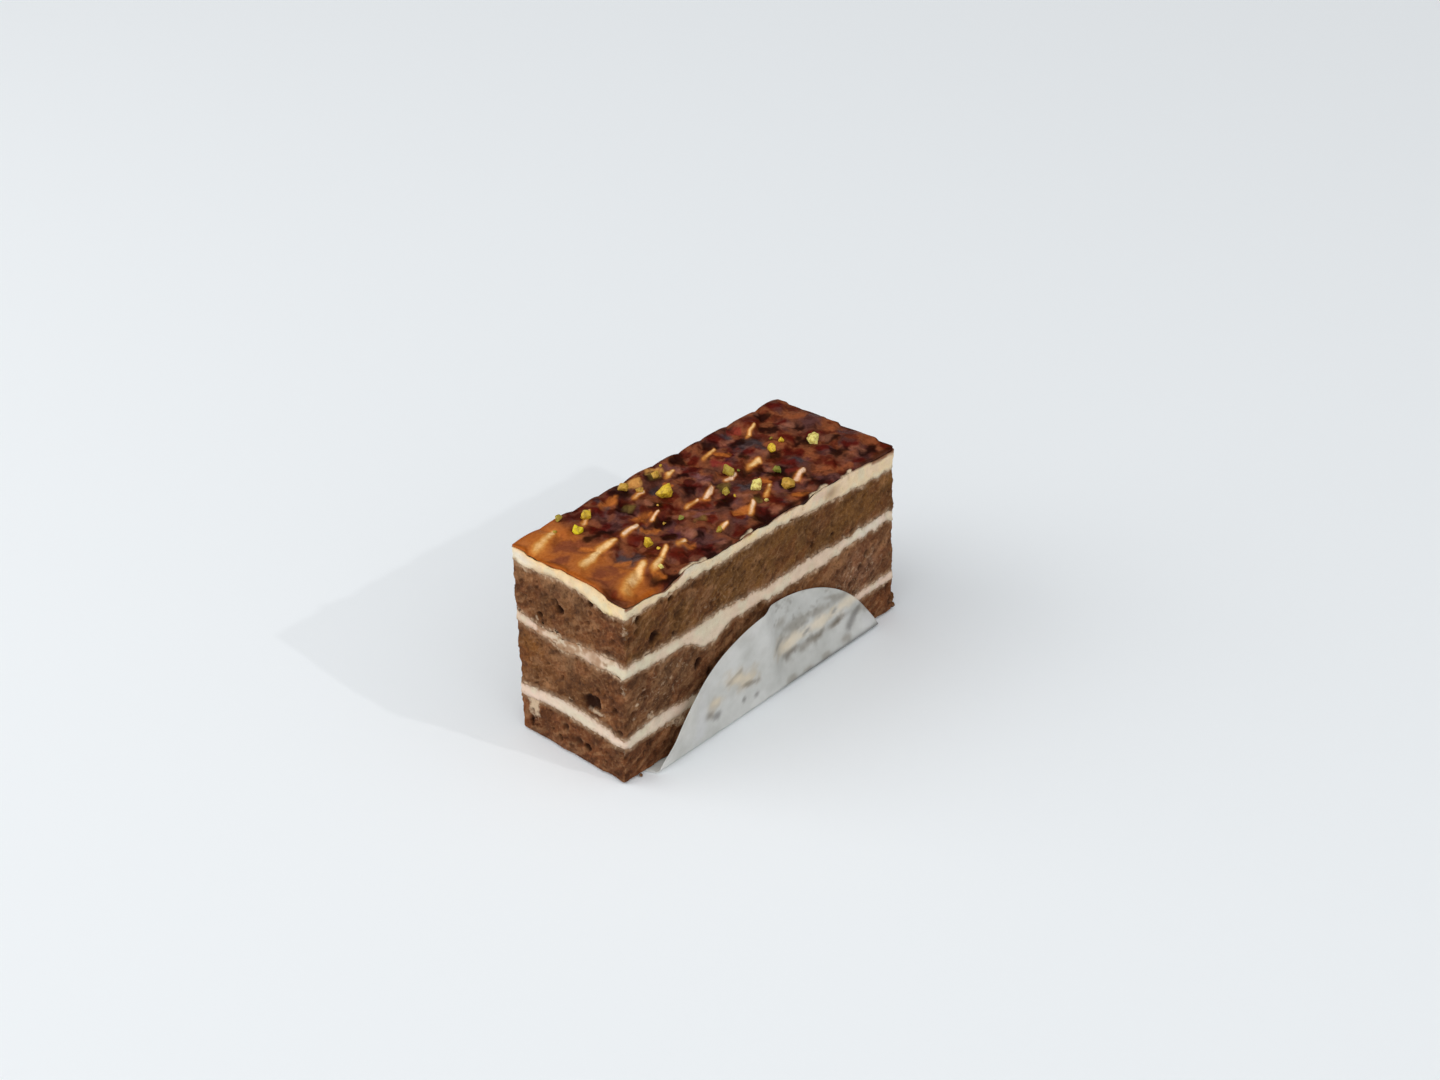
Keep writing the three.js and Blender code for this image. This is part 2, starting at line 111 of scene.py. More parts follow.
# Chopped pistachio as in the solids: (x, y, size)
NIBS = [
    (-36.3, 19.6, 2.8), (-36.5, 12.6, 4), (-30.5, 15.5, 4), (-14.4, 17.7, 3), (-3.6, 16.4, 2.8),
    (-8.9, 8, 4.4), (-14.7, -2.9, 2), (-29.6, -5.3, 3), (-36, -15.6, 2.3), (-12.5, -14.2, 2.2),
    (10.3, 3.1, 4), (2.2, -3.2, 3), (8.7, -8.1, 4), (27.2, 2.5, 3.6), (20.1, -5.5, 3), (16.1, -12.6, 4.2),
    (38.9, -1.9, 4.6), (31.9, 3.4, 2.4), (-11.9, 14.1, 2.2),
]
NIB_SINK = 0.4

# Film liner, as in the solids but as thin as the real film
LINER_RADIUS = 50.0
LINER_FOLD = 22.3
LINER_BEND = 1.2
LINER_SOLID_THICKNESS = 0.3
LINER_FILM = 0.12
LINER_CLEARANCE = 0.35
LINER_LEAN_HEIGHT = 9.0
LINER_CREASE = 5.25
LINER_CREASE_SLANT = 0.25
LINER_CREASE_HALF = 3.0
LINER_LOOSE_GAP = 1.9
LINER_FLARE = 2.2
LINER_STEPS = 180
LINER_BEND_ROWS = 9
LINER_SPAN = 0.497 * math.pi

# Camera worked out from the slice's edges in the photo
CAMERA_PLACE = (-400.0, -357.7, 376.3)
CAMERA_FORWARD = (0.634, 0.562, -0.531)
CAMERA_LENS = 60.3
CAMERA_SENSOR = 36.0
CAMERA_CLIP = 0.01

# Light worked out from the slice's shadow in the photo
SKY_BRIGHT_WAY = (-0.7, -0.35, 0.62)
SKY_BRIGHT = 1.27
SKY_BRIGHT_FACING = 0.9
SKY_DIM = 0.1
SKY_DIM_FACING = -0.2
SKY_COLOUR = (0.97, 0.985, 1.0, 1.0)
KEY_PLACE = (25.0, -318.0, 288.0)
KEY_RADIUS = 0.004
KEY_POWER = 4.0
WINDOW_PLACE = (-700.0, 600.0, 520.0)
WINDOW_SIZE = 0.9
WINDOW_POWER = 3.8

# Floor: half its size, and how far it lies below the slice, in metres
FLOOR_HALF = 4.0
FLOOR_DROP = 0.0002

# Large whole numbers that stir a cell and a seed into a repeatable draw
LATTICE_STEPS = np.array([374761393, 668265263, 1442695041])
LATTICE_SEED_STEP = 974634777
LATTICE_STIR = 1274126177
LATTICE_MASK = 0xFFFFFFFF
LATTICE_MOST = 0xFFFFF


def smooth(value, low, high):
    share = np.clip((value - low) / (high - low), 0.0, 1.0)
    return share * share * (3 - 2 * share)


def blend(low, high, share):
    return low + (high - low) * share


def bell(*away):
    """Soft spot: 1 in its middle, falling off with the distances away from it."""
    return np.exp(-sum(part**2 for part in away))


def unit(vectors):
    return vectors / np.linalg.norm(vectors, axis=-1, keepdims=True)


def flat(x, y):
    return np.stack([x, y, np.zeros_like(x)], axis=-1)


def raised(plan, z):
    return np.concatenate([plan, z[..., None]], axis=-1)


def draw(i, j):
    """Repeatable draw between 0 and 1 for a pair of whole numbers, as in the solids."""
    wave = math.sin(i * 12.9898 + j * 78.233) * 43758.5453
    return wave - math.floor(wave)


def lattice(cells, seed):
    """Repeatable number between 0 and 1 for each whole-number cell."""
    mixed = (cells @ LATTICE_STEPS + seed * LATTICE_SEED_STEP) & LATTICE_MASK
    mixed = ((mixed ^ (mixed >> 13)) * LATTICE_STIR) & LATTICE_MASK
    return ((mixed ^ (mixed >> 16)) & LATTICE_MOST) / LATTICE_MOST


def grain(points, size, seed):
    """Smooth noise between 0 and 1 with the given size in millimetres, which may differ by axis."""
    scaled = points / np.asarray(size, float)
    cells = np.floor(scaled).astype(np.int64)
    inside = scaled - cells
    inside = inside * inside * (3 - 2 * inside)
    total = np.zeros(points.shape[:-1])
    for corner in itertools.product((0, 1), repeat=3):
        weight = np.prod(np.where(corner, inside, 1 - inside), axis=-1)
        total += weight * lattice(cells + np.array(corner), seed)
    return total


def rough(points, size, seed, octaves=3):
    """Noise between 0 and 1 summed over halving sizes."""
    total = np.zeros(points.shape[:-1])
    weight = 0.0
    for octave in range(octaves):
        share = 0.5**octave
        total += share * grain(points, np.asarray(size, float) * share, seed + octave)
        weight += share
    return total / weight


def wavy(points, size, seed, octaves=3):
    """The same noise about 0."""
    return rough(points, size, seed, octaves) - 0.5


def pores(points, spacing, chance, seed):
    """Depth between 0 and 1 inside round holes, one for some of the cells of a jittered grid."""
    scaled = points / spacing
    cells = np.floor(scaled).astype(np.int64)
    depth = np.zeros(points.shape[:-1])
    for step in itertools.product((-1, 0, 1), repeat=3):
        cell = cells + np.array(step)
        centre = cell + np.stack([lattice(cell, seed + axis) for axis in range(3)], axis=-1)
        radius = 0.16 + 0.42 * lattice(cell, seed + 3) ** 2
        away = np.linalg.norm(scaled - centre, axis=-1) / radius
        there = lattice(cell, seed + 4) < chance
        depth = np.maximum(depth, np.where(there, 1 - np.minimum(away, 1) ** 2, 0))
    return depth


def warped(x, y, size, reach, seed):
    """Places moved about by smooth noise, so that what is drawn there comes out uneven."""
    place = flat(x, y)
    return x + 2 * reach * wavy(place, size, seed, 2), y + 2 * reach * wavy(place, size, seed + 9, 2)


def corner_places(z):
    """The four cut corners at each height, in plan."""
    up = np.clip(z / HEIGHT, 0, 1)[..., None]
    reach = np.clip(FOOT_RADIUS - z, 0, FOOT_RADIUS)[..., None]
    tuck = FOOT_RADIUS - np.sqrt(FOOT_RADIUS**2 - reach**2)
    half = np.array([LENGTH, WIDTH]) / 2 - tuck
    return [side * half + blend(np.array(foot), np.array(crown), up) for side, foot, crown in CORNERS]


def outline(way, z):
    """Plan point on the slice's outline. The whole part of way counts sides from the near front corner."""
    way = np.mod(way, 4.0)
    places = corner_places(z)
    result = np.zeros(np.broadcast(way, z).shape + (2,))

    def bend(at, before, after, t):
        start = at + unit(before - at) * CORNER_RADIUS
        end = at + unit(after - at) * CORNER_RADIUS
        t = t[..., None]
        return (1 - t) ** 2 * start + 2 * t * (1 - t) * at + t**2 * end

    for k in range(4):
        before, here, after, last = (places[(k + n) % 4] for n in (3, 0, 1, 2))
        share = way - k
        run = np.linalg.norm(after - here, axis=-1)
        done = share * run
        left = run - done
        straight = here + (after - here) * share[..., None]
        leaving = bend(here, before, after, 0.5 + 0.5 * np.clip(done / CORNER_RADIUS, 0, 1))
        arriving = bend(after, here, last, 0.5 - 0.5 * np.clip(left / CORNER_RADIUS, 0, 1))
        point = np.where((done < CORNER_RADIUS)[..., None], leaving, straight)
        point = np.where((left < CORNER_RADIUS)[..., None], arriving, point)
        result = np.where((np.floor(way) == k)[..., None], point, result)
    return result


def outward(way, z):
    """Outward direction of the outline in plan."""
    step = 0.004
    along = unit(outline(way + step, z) - outline(way - step, z))
    return np.stack([along[..., 1], -along[..., 0]], axis=-1)


def side_run(way):
    """Length of the side that a way lies on."""
    return np.where(np.floor(way) % 2 == 0, LENGTH, WIDTH)


def ways_round():
    """Even steps round the outline, as values for outline()."""
    counts = [int(round(run / WALL_STEP)) for run in side_run(np.arange(4))]
    return np.concatenate([k + np.arange(n) / n for k, n in enumerate(counts)])


def dab_list():
    """Middle, lip and height of each dab. The lip is before its row's shift."""
    for row, column in itertools.product(range(DAB_ROWS), range(DAB_COLUMNS)):
        middle = DAB_START_X + column * DAB_PITCH + DAB_WANDER * (2 * draw(row, column) - 1)
        lip = DAB_START_LIP + row * DAB_ROW_PITCH + DAB_WANDER * (2 * draw(column, row + 7) - 1)
        yield middle, lip, DAB_HEIGHT * (0.75 + 0.4 * draw(row + 3, column + 5))


def dabs(x, y):
    """Height of the dabs, and the place across the one that shows, from -1 to 1. Their rows wander."""
    turn = 2 * math.pi / DAB_BOW_PERIOD
    x, y = x + DAB_BOW * np.sin(turn * (y + 0.4 * x)), y + DAB_BOW * np.sin(turn * (x - 0.6 * y) + 2)
    shift = sum(by * smooth(x, start, end) for start, end, by in DAB_ROW_SHIFTS)
    height = np.full(x.shape, -1.0)
    shown = np.zeros(x.shape)
    for middle, lip, grown in dab_list():
        aside = (x - middle) / DAB_HALF_LENGTH
        behind = y - lip - shift - DAB_SLANT * (x - middle)
        across = np.maximum(0, 1 - np.abs(aside) ** 2.6) ** 0.8
        rear = 1 - 0.9 * smooth(behind, 0, DAB_BACK)
        here = grown * across * np.where(behind < 0, smooth(behind, -DAB_FRONT, 0), rear)
        shown = np.where(here > height, aside, shown)
        height = np.maximum(height, here)
    return height, shown


def surface_height(k, x, y):
    level, rise, ripple, swells = SURFACES[k]
    turn = 2 * math.pi / RIPPLE_PERIOD
    z = level + rise * x / (LENGTH / 2)
    z = z + ripple * np.sin(turn * x + 2.1 * k) * np.cos(0.6 * turn * y + 1.3 * k)
    for at_x, at_y, height, radius in swells:
        z = z + height * np.exp(-((x - at_x) ** 2 + (y - at_y) ** 2) / radius**2)
    return z


def glaze_foot(x, y):
    """Height of the glaze's cut lower edge over the last surface."""
    foot = CREAM_SHARE_OF_DABS * dabs(x, y)[0] + 0.9 * wavy(flat(x, y), 5.0, 351)
    for at, height, half in EDGE_RISES:
        foot = foot + height * bell((x - at) / half) * (y < 0)
    return foot


def layer_edge(k, way):
    """Height of layer surface k round the cut sides, with the ragged line that the knife leaves."""
    point = outline(way, np.full_like(way, LEVELS[k]))
    x, y = point[:, 0], point[:, 1]
    if k == LAST:
        return surface_height(k, x, y) + glaze_foot(x, y)
    place = np.column_stack([point, np.full(len(way), 40.0 * k)])
    return surface_height(k, x, y) + EDGE_WANDER[k] * 2 * wavy(place, EDGE_GRAIN, 11 * k, 4)


def wall_offset(kind, point, z):
    coarse = np.sin(0.71 * point[..., 0] + 0.53 * point[..., 1] + 0.37 * z)
    fine = np.sin(1.13 * point[..., 0] - 0.91 * point[..., 1] + 0.83 * z + 2)
    return WALL_STANDS_PROUD[kind] + WALL_ROUGHNESS[kind] * (0.6 * coarse + 0.4 * fine)


def add_object(name, data, place=(0, 0, 0)):
    added = bpy.data.objects.new(name, data)
    added.location = Vector(place) * MM
    bpy.context.scene.collection.objects.link(added)
    return added


def new_piece(name, vertices, faces, material, node, slot, attributes):
    """Mesh piece in metres from millimetres, riding on the slice and standing for a CAD node."""
    mesh = bpy.data.meshes.new(name)
    mesh.from_pydata((np.asarray(vertices) * MM).tolist(), [], faces)
    for key, values in attributes.items():
        values = np.asarray(values, float)
        if values.size == len(vertices):
            mesh.attributes.new(key, "FLOAT", "POINT").data.foreach_set("value", values.ravel())
        else:
            colours = np.column_stack([values.reshape(-1, 3), np.ones(len(vertices))])
            mesh.attributes.new(key, "FLOAT_COLOR", "POINT").data.foreach_set("color", colours.ravel())
    mesh.shade_smooth()
    mesh.update()
    piece = add_object(name, mesh)
    mesh.materials.append(material)
    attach(piece, "root")
    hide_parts(node)


def grid_quads(index):
    quads = np.stack([index[:-1, :-1], index[:-1, 1:], index[1:, 1:], index[1:, :-1]], axis=-1)
    return quads.reshape(-1, 4)


def wall_faces(rows, count):
    """Quads of a closed wall of rows + 1 rings, with a face over each end."""
    index = np.arange((rows + 1) * count).reshape(-1, count)
    quads = grid_quads(np.column_stack([index, index[:, 0]]))
    return quads.tolist() + [index[0, ::-1].tolist(), index[-1].tolist()]


def grid_faces(rows, columns):
    """Quads of a grid of points, and the points round its edge in order."""
    index = np.arange(rows * columns).reshape(rows, columns)
    rim = np.concatenate([index[0, :-1], index[:-1, -1], index[-1, :0:-1], index[:0:-1, 0]])
    return grid_quads(index), rim


def band(upper, lower):
    """Quads between two closed rings of points."""
    return np.column_stack([np.roll(upper, -1), upper, lower, np.roll(lower, -1)]).tolist()


def finished(shape):
    """Points and faces of a bmesh, which is then freed."""
    shape.verts.index_update()
    points = np.array([vertex.co for vertex in shape.verts])
    faces = [[vertex.index for vertex in face.verts] for face in shape.faces]
    shape.free()
    return points, faces


def joined(shapes):
    """Points and faces of several shapes as one."""
    vertices, faces = [], []
    for points, sides in shapes:
        first = len(vertices)
        vertices.extend(points.tolist())
        faces.extend([[first + v for v in side] for side in sides])
    return vertices, faces


# Materials


class Nodes:
    """Short way to add and link the nodes of a material, a world or a light."""

    def __init__(self, owner):
        owner.use_nodes = True
        self.owner = owner
        self.tree = owner.node_tree

    def feed(self, socket, value):
        if isinstance(value, bpy.types.NodeSocket):
            self.tree.links.new(value, socket)
        else:
            socket.default_value = (*value, 1.0) if isinstance(value, np.ndarray) else value

    def set(self, node, values):
        for key, value in values.items():
            self.feed(node.inputs[key], value)
        return node

    def add(self, kind, values, **settings):
        node = self.tree.nodes.new(kind)
        for key, value in settings.items():
            setattr(node, key, value)
        return self.set(node, values)

    def shade(self, colour, roughness, specular, **more):
        """Inputs of the main shader, with _ for a space in their names. Gives the finished material."""
        values = {"Base Color": colour, "Roughness": roughness, "Specular IOR Level": specular}
        values.update({key.replace("_", " "): value for key, value in more.items()})
        self.set(self.tree.nodes["Principled BSDF"], values)
        return self.owner

    def noise(self, size, detail=4.0, roughness=0.6, scale=(1, 1, 1)):
        """Noise of the given size in millimetres, over places stretched by scale."""
        source = self.add("ShaderNodeTexCoord", {}).outputs["Object"]
        values = {"Vector": source, "Scale": [s / MM for s in scale]}
        place = self.add("ShaderNodeMapping", values).outputs[0]
        values = {"Vector": place, "Scale": 1 / size, "Detail": detail, "Roughness": roughness}
        return self.add("ShaderNodeTexNoise", values).outputs["Fac"]

    def attribute(self, name, output="Fac"):
        return self.add("ShaderNodeAttribute", {}, attribute_name=name).outputs[output]

    def range(self, value, low, high, to_low=0.0, to_high=1.0):
        values = {"Value": value, "From Min": low, "From Max": high, "To Min": to_low, "To Max": to_high}
        return self.add("ShaderNodeMapRange", values).outputs[0]

    def math(self, operation, a, b):
        return self.add("ShaderNodeMath", {0: a, 1: b}, operation=operation).outputs[0]

    def mix(self, share, a, b, kind="MIX"):
        values = {"Factor": share, 6: a, 7: b}
        return self.add("ShaderNodeMix", values, data_type="RGBA", blend_type=kind).outputs[2]

    def lay(self, colour, tone, value, low, high, share=1.0):
        """Colour with a tone laid over it where a value rises from low to high."""
        return self.mix(self.range(value, low, high, 0.0, share), colour, tone)

    def fringe(self, colour, fade, strength, haze_tone, size, roughness, torn_tone):
        """Colour with the hazy, torn edge of the neighbouring layer laid over it."""
        reach = self.attribute("reach")
        haze = self.math("MULTIPLY", self.range(reach, 0.0, fade, strength, 0.0), self.noise(1.8))
        torn = self.math("SUBTRACT", self.noise(size, 5, roughness), reach)
        return self.lay(self.mix(haze, colour, haze_tone), torn_tone, torn, 0.42, 0.58, 0.75)

    def bump(self, height, distance, strength, under=None):
        values = {"Height": height, "Distance": distance * MM, "Strength": strength}
        if under is not None:
            values["Normal"] = under
        return self.add("ShaderNodeBump", values).outputs[0]


def rgb(red, green, blue):
    """Linear colour from 0 to 255 screen values."""
    value = np.array([red, green, blue]) / 255
    return np.where(value <= 0.04045, value / 12.92, ((value + 0.055) / 1.055) ** 2.4)


def palette(**tones):
    return {name: rgb(*screen) for name, screen in tones.items()}


def new_material(name):
    return Nodes(bpy.data.materials.new(name))


# Light that goes a little way into cream and nuts
SOFT = {"Subsurface_Weight": 0.15, "Subsurface_Scale": 0.6 * MM}


def sponge_material():
    """Cocoa crumb: uneven brown grains and painted shade in its pores, with torn cream along the layers'
    edges.
    """
    nodes = new_material("cocoa_sponge")
    tint = nodes.attribute("tint", "Color")
    crumb = nodes.noise(1.0, 6, 0.72)
    dark = nodes.mix(0.5, tint, rgb(40, 20, 8))
    light = nodes.mix(0.4, tint, rgb(184, 140, 98))
    colour = nodes.lay(dark, tint, crumb, 0.36, 0.5)
    colour = nodes.lay(colour, light, crumb, 0.54, 0.68, 0.8)
    colour = nodes.lay(colour, dark, nodes.noise(1.6, scale=(1, 1, 0.4)), 0.54, 0.66, 0.4)
    colour = nodes.fringe(colour, 0.26, 0.62, rgb(196, 164, 132), 1.5, 0.65, rgb(202, 174, 144))
    speck = nodes.range(nodes.noise(1.2), 0.56, 0.68)
    colour = nodes.mix(nodes.math("MULTIPLY", speck, nodes.attribute("speck")), colour, rgb(190, 160, 130))
    torn = nodes.range(nodes.noise(1.3), 0.3, 0.7, -0.45, 0.45)
    smeared = nodes.attribute("smear")
    smear = nodes.math("ADD", smeared, nodes.math("MULTIPLY", torn, nodes.range(smeared, 0.0, 0.4)))
    colour = nodes.lay(colour, rgb(208, 182, 152), smear, 0.3, 1.0, 0.9)
    # Painted shade in the pores, darkest in the deepest holes
    colour = nodes.mix(nodes.attribute("pit"), colour, rgb(48, 23, 9))
    fine = nodes.bump(nodes.noise(0.35, 5, 0.75), 0.3, 0.7)
    return nodes.shade(colour, 0.9, 0.15, Normal=nodes.bump(crumb, 0.5, 0.7, fine))


def cream_material():
    """Cut cream with dragged crumbs along its edges."""
    nodes = new_material("whipped_cream")
    tint = nodes.attribute("tint", "Color")
    shaded = nodes.mix(0.5, tint, rgb(180, 142, 104))
    colour = nodes.lay(tint, shaded, nodes.noise(2.2), 0.42, 0.66, 0.4)
    colour = nodes.fringe(colour, 0.24, 0.7, rgb(150, 112, 80), 1.1, 0.68, rgb(134, 96, 64))
    colour = nodes.lay(colour, rgb(158, 118, 80), nodes.noise(0.7, 3), 0.64, 0.72, 0.45)
    colour = nodes.mix(nodes.attribute("stain"), colour, rgb(146, 102, 62))
    colour = nodes.mix(nodes.attribute("run"), colour, rgb(120, 62, 26))
    dragged = nodes.bump(nodes.noise(0.7, 5, 0.65), 0.35, 0.7)
    return nodes.shade(colour, 0.55, 0.3, Normal=dragged, Subsurface_Radius=(1.0, 0.7, 0.45), **SOFT)


def glaze_material():
    """Browned cream under a thin caramel glaze."""
    nodes = new_material("caramel_glaze")
    tint = nodes.attribute("tint", "Color")
    deep = nodes.mix(1.0, tint, rgb(190, 150, 130), "MULTIPLY")
    colour = nodes.lay(tint, deep, nodes.noise(0.9, 5, 0.65), 0.4, 0.7, 0.5)
    ripple = nodes.bump(nodes.noise(1.2, 3), 0.2, 0.5)
    coat = {"Coat_Weight": 0.08, "Coat_Roughness": 0.15, "Coat_IOR": 1.45}
    return nodes.shade(colour, 0.5, 0.03, Normal=ripple, **coat)


def pistachio_material():
    nodes = new_material("chopped_pistachio")
    fleck = nodes.noise(1.1, 4, 0.7)
    colour = nodes.lay(nodes.attribute("tint", "Color"), rgb(146, 106, 30), fleck, 0.46, 0.64, 0.8)
    chipped = nodes.bump(fleck, 0.25, 0.6)
    return nodes.shade(colour, 0.5, 0.3, Normal=chipped, Subsurface_Radius=(0.8, 0.7, 0.2), **SOFT)


def film_material():
    """Frosted film: white and scattering, clearer where it clings, with smears of cream on its inside."""
    nodes = new_material("frosted_film")
    tint = nodes.attribute("tint", "Color")
    hazy = nodes.mix(1.0, tint, rgb(236, 236, 234), "MULTIPLY")
    colour = nodes.lay(tint, hazy, nodes.noise(9.0, 3), 0.35, 0.65)
    crinkle = nodes.bump(nodes.noise(5.0, 2), 0.5, 0.35)
    nodes.shade(colour, 0.4, 0.35, Normal=crinkle)
    frosted = nodes.tree.nodes["Principled BSDF"].outputs[0]
    through = nodes.add("ShaderNodeBsdfTranslucent", {"Color": colour}).outputs[0]
    see = nodes.add("ShaderNodeBsdfTransparent", {"Color": rgb(246, 246, 242)}).outputs[0]
    thin = nodes.range(nodes.attribute("residue"), 0.0, 1.0, 0.46, 0.18)
    body = nodes.add("ShaderNodeMixShader", {0: thin, 1: frosted, 2: through}).outputs[0]
    share = nodes.range(nodes.attribute("clear"), 0.0, 1.0, 0.05, 0.85)
    mixed = nodes.add("ShaderNodeMixShader", {0: share, 1: body, 2: see}).outputs[0]
    nodes.set(nodes.tree.nodes["Material Output"], {"Surface": mixed})
    return nodes.owner


def floor_material():
    return new_material("pale_floor").shade(rgb(241, 244, 246), 0.6, 0.2)


# Layers of the slice

# A spot on the cut sides is given by its way round, its height and its half sizes along and up
# Deepest holes of the crumb, as in the solids: way round the outline, height, radius
CRUMB_HOLES = [
    (3.665, 19.6, 2.7), (3.735, 20.7, 2.3), (0.1, 40.4, 1.9), (0.25, 24, 1.6), (3.42, 42.6, 1.4),
    (3.24, 38, 1), (3.64, 5, 1.5), (3.38, 3.4, 1.1), (3.1, 3.4, 1.2), (3.7, 50, 1), (0.045, 48.6, 1.1),
    (0.155, 49, 0.9),
]
# Cream dragged over the crumb by the knife: spot and strength
CREAM_SMEARS = [
    (3.13, 8.8, 2.4, 3.2, 1.3), (3.72, 18, 3.2, 0.9, 1), (3.5, 17.4, 1, 0.8, 0.6),
    (3.985, 46.5, 1.4, 2.8, 0.5), (3.985, 29, 1.1, 3, 0.45), (3.95, 35.6, 2.2, 1.6, 0.7),
    (3.99, 10, 0.8, 2.2, 0.5), (0.085, 17.2, 1.4, 1.8, 0.8), (0.165, 11, 3.6, 1.8, 0.9),
    (0.185, 9.6, 2.4, 1.8, 0.8), (0.03, 49.4, 1.6, 1, 0.7), (0.035, 18.8, 1, 0.8, 0.6),
    (0.04, 23, 0.8, 0.7, 0.6), (3.2, 36.6, 1.4, 0.9, 0.6), (3.1, 49, 3.4, 1.2, 0.45),
]
# Parts of the cut sides where specks of cream stick to the crumb: spot and strength
SPECKLED = [(0.13, 25, 11, 6, 0.6), (0.86, 20.5, 9, 6, 0.7), (0.3, 40, 12, 3, 0.3)]
LEAST_SPECKLED = 0.05
SPONGE_TINTS = palette(
    brown=(110, 69, 38), golden=(114, 75, 36), ochre=(130, 80, 30), red=(110, 62, 34), grey=(106, 73, 48),
    rosy=(128, 88, 64), pale=(146, 104, 70), deep=(70, 38, 18),
)
# Broad patches of colour on the crumb: tone, spot and strength. The three deep patches on the front are
# painted
# shadow: two just above the film's top edge and one beside the film's near edge.
SPONGE_PATCHES = [
    ("grey", 0.13, 24, 18, 11, 1), ("rosy", 0.87, 21, 11, 8, 1), ("pale", 3.42, 49, 10, 3.4, 0.8),
    ("pale", 3.45, 28.5, 8, 2.6, 0.5), ("ochre", 3.12, 25.5, 3.5, 4.5, 0.8), ("red", 3.88, 44, 6, 6, 0.7),
    ("red", 3.9, 23, 5, 7, 0.7), ("red", 3.08, 42, 3, 4, 0.6), ("rosy", 3.4, 1, 10, 1.4, 0.5),
    ("deep", 0.155, 6, 2.2, 4, 0.6), ("deep", 0.44, 27, 12, 1.6, 0.6), ("deep", 0.33, 25.6, 6, 1.6, 0.5),
]
KNIFE_SLANT = math.radians(32)


def laid(tints, colour, *shares):
    """Colour with tones laid over it in turn, each given as a name and a share."""
    for tone, share in shares:
        colour = colour + (tints[tone] - colour) * share[..., None]
    return colour


def spot(way, z, at, level, half, tall):
    """Share of a soft oval spot on the cut sides."""
    apart = np.abs(np.mod(way - at + 2, 4) - 2) * side_run(at)
    return bell(apart / half, (z - level) / tall)


def strongest(way, z, spots, least=0.0):
    """Share of the strongest of some spots."""
    share = np.full_like(z, least)
    for *oval, strength in spots:
        share = np.maximum(share, strength * spot(way, z, *oval))
    return share


def patch_shares(way, z, patches):
    return [(tone, strength * spot(way, z, *oval)) for tone, *oval, strength in patches]


def layer_wall(k):
    """Rows, ways, heights and distances from the lower and upper edge of a layer's cut sides."""
    way = ways_round()
    low = layer_edge(k, way) + LAYER_GAP / 2
    high = layer_edge(k + 1, way) - LAYER_GAP / 2
    rows = max(2, int(round((LEVELS[k + 1] - LEVELS[k]) / WALL_STEP)))
    z = low + (high - low) * np.linspace(0, 1, rows + 1)[:, None]
    return rows, np.broadcast_to(way, z.shape), z, z - low, high - z


def sponge_relief(place, way, z):
    """How far the torn crumb lies inside the cut face, and how much painted shade its holes get."""
    depth = np.zeros_like(z)
    for spacing, chance, seed, deep in ((3.4, 0.22, 21, 1.1), (1.7, 0.5, 31, 0.6), (0.95, 0.6, 41, 0.3)):
        depth = np.maximum(depth, deep * pores(place, spacing, chance, seed))
    wander = 0.5 + rough(place, 1.6, 51)
    for at, level, radius in CRUMB_HOLES:
        away = np.hypot((way - at) * side_run(at), z - level) / (radius * wander)
        depth = np.maximum(depth, 2.2 * np.clip(1 - away**2, 0, 1))
    crag = 0.9 * wavy(place, 2.4, 61, 4) + 0.35 * pores(place, 1.3, 0.3, 67)
    return depth - crag, np.clip(depth / 1.1, 0, 1)


def knife_grain(way, z, size, seed):
    """Noise on the cut sides, drawn out along the slanted way that the knife went."""
    along = way * side_run(way)
    ahead = along * math.cos(KNIFE_SLANT) + z * math.sin(KNIFE_SLANT)
    aside = z * math.cos(KNIFE_SLANT) - along * math.sin(KNIFE_SLANT)
    return rough(np.stack([ahead, aside, 50 * np.floor(way)], axis=-1), size, seed)


def sponge_tint(place, way, z):
    """Broad colour of the crumb: redder at the foot, golden on the upper front, mottled and streaked."""
    front_top = (way < 1) * smooth(z, 33, 38)
    streak = knife_grain(way, z, (5.0, 1.5, 1.0), 85)
    calm = blend(1.0, 0.5, front_top * smooth(way, 0.3, 0.6))
    colour = laid(
        SPONGE_TINTS,
        SPONGE_TINTS["brown"],
        ("golden", front_top),
        ("red", 0.7 * (1 - smooth(z, 9, 12))),
        *patch_shares(way, z, SPONGE_PATCHES),
        ("red", 0.45 * smooth(rough(place, 4.0, 83), 0.5, 0.66)),
        ("pale", 0.55 * calm * smooth(streak, 0.54, 0.7)),
        ("deep", 0.6 * calm * smooth(1 - streak, 0.56, 0.74)),
    )
    return colour * ((0.5 + rough(place, 4.5, 77, 4)) * (0.74 + 0.52 * rough(place, 1.8, 79)))[..., None]


def make_sponge(k, name, material):
    rows, way, z, above, below = layer_wall(k)
    plan = outline(way, z)
    place = raised(plan, z)
    depth, pit = sponge_relief(place, way, z)
    fade = smooth(np.minimum(above, below), 0, 0.8)
    offset = wall_offset("sponge", plan, z) - depth * blend(0.3, 1, fade)
    vertices = raised(plan + outward(way, z) * offset[..., None], z).reshape(-1, 3)
    creamed_low = above if k > 0 else np.full_like(above, 9.0)
    attributes = {
        # Painted shade in the pores, fading near the layer edges
        "pit": pit * blend(0.4, 1, fade),
        "reach": CREAM_FRINGE * np.minimum(creamed_low, below),
        "smear": strongest(way, z, CREAM_SMEARS),
        "speck": np.clip(strongest(way, z, SPECKLED, LEAST_SPECKLED), 0, 1),
        "tint": sponge_tint(place, way, z),
    }
    faces = wall_faces(rows, way.shape[1])
    new_piece(name + "_crumb", vertices, faces, material, name, "sponge", attributes)


# Crumbs at the foot: middle and size. The first clings to the far front corner, as in the solids.
CRUMBS = [((53.6, -18.6, 4.0), 3.4), ((54.4, -19.4, 1.2), 1.7), ((-48.6, -19.4, 0.4), 0.9)]
CRUMB_LOOKS = {"pit": 0.0, "reach": 9.0, "smear": 0.0, "speck": 0.2}


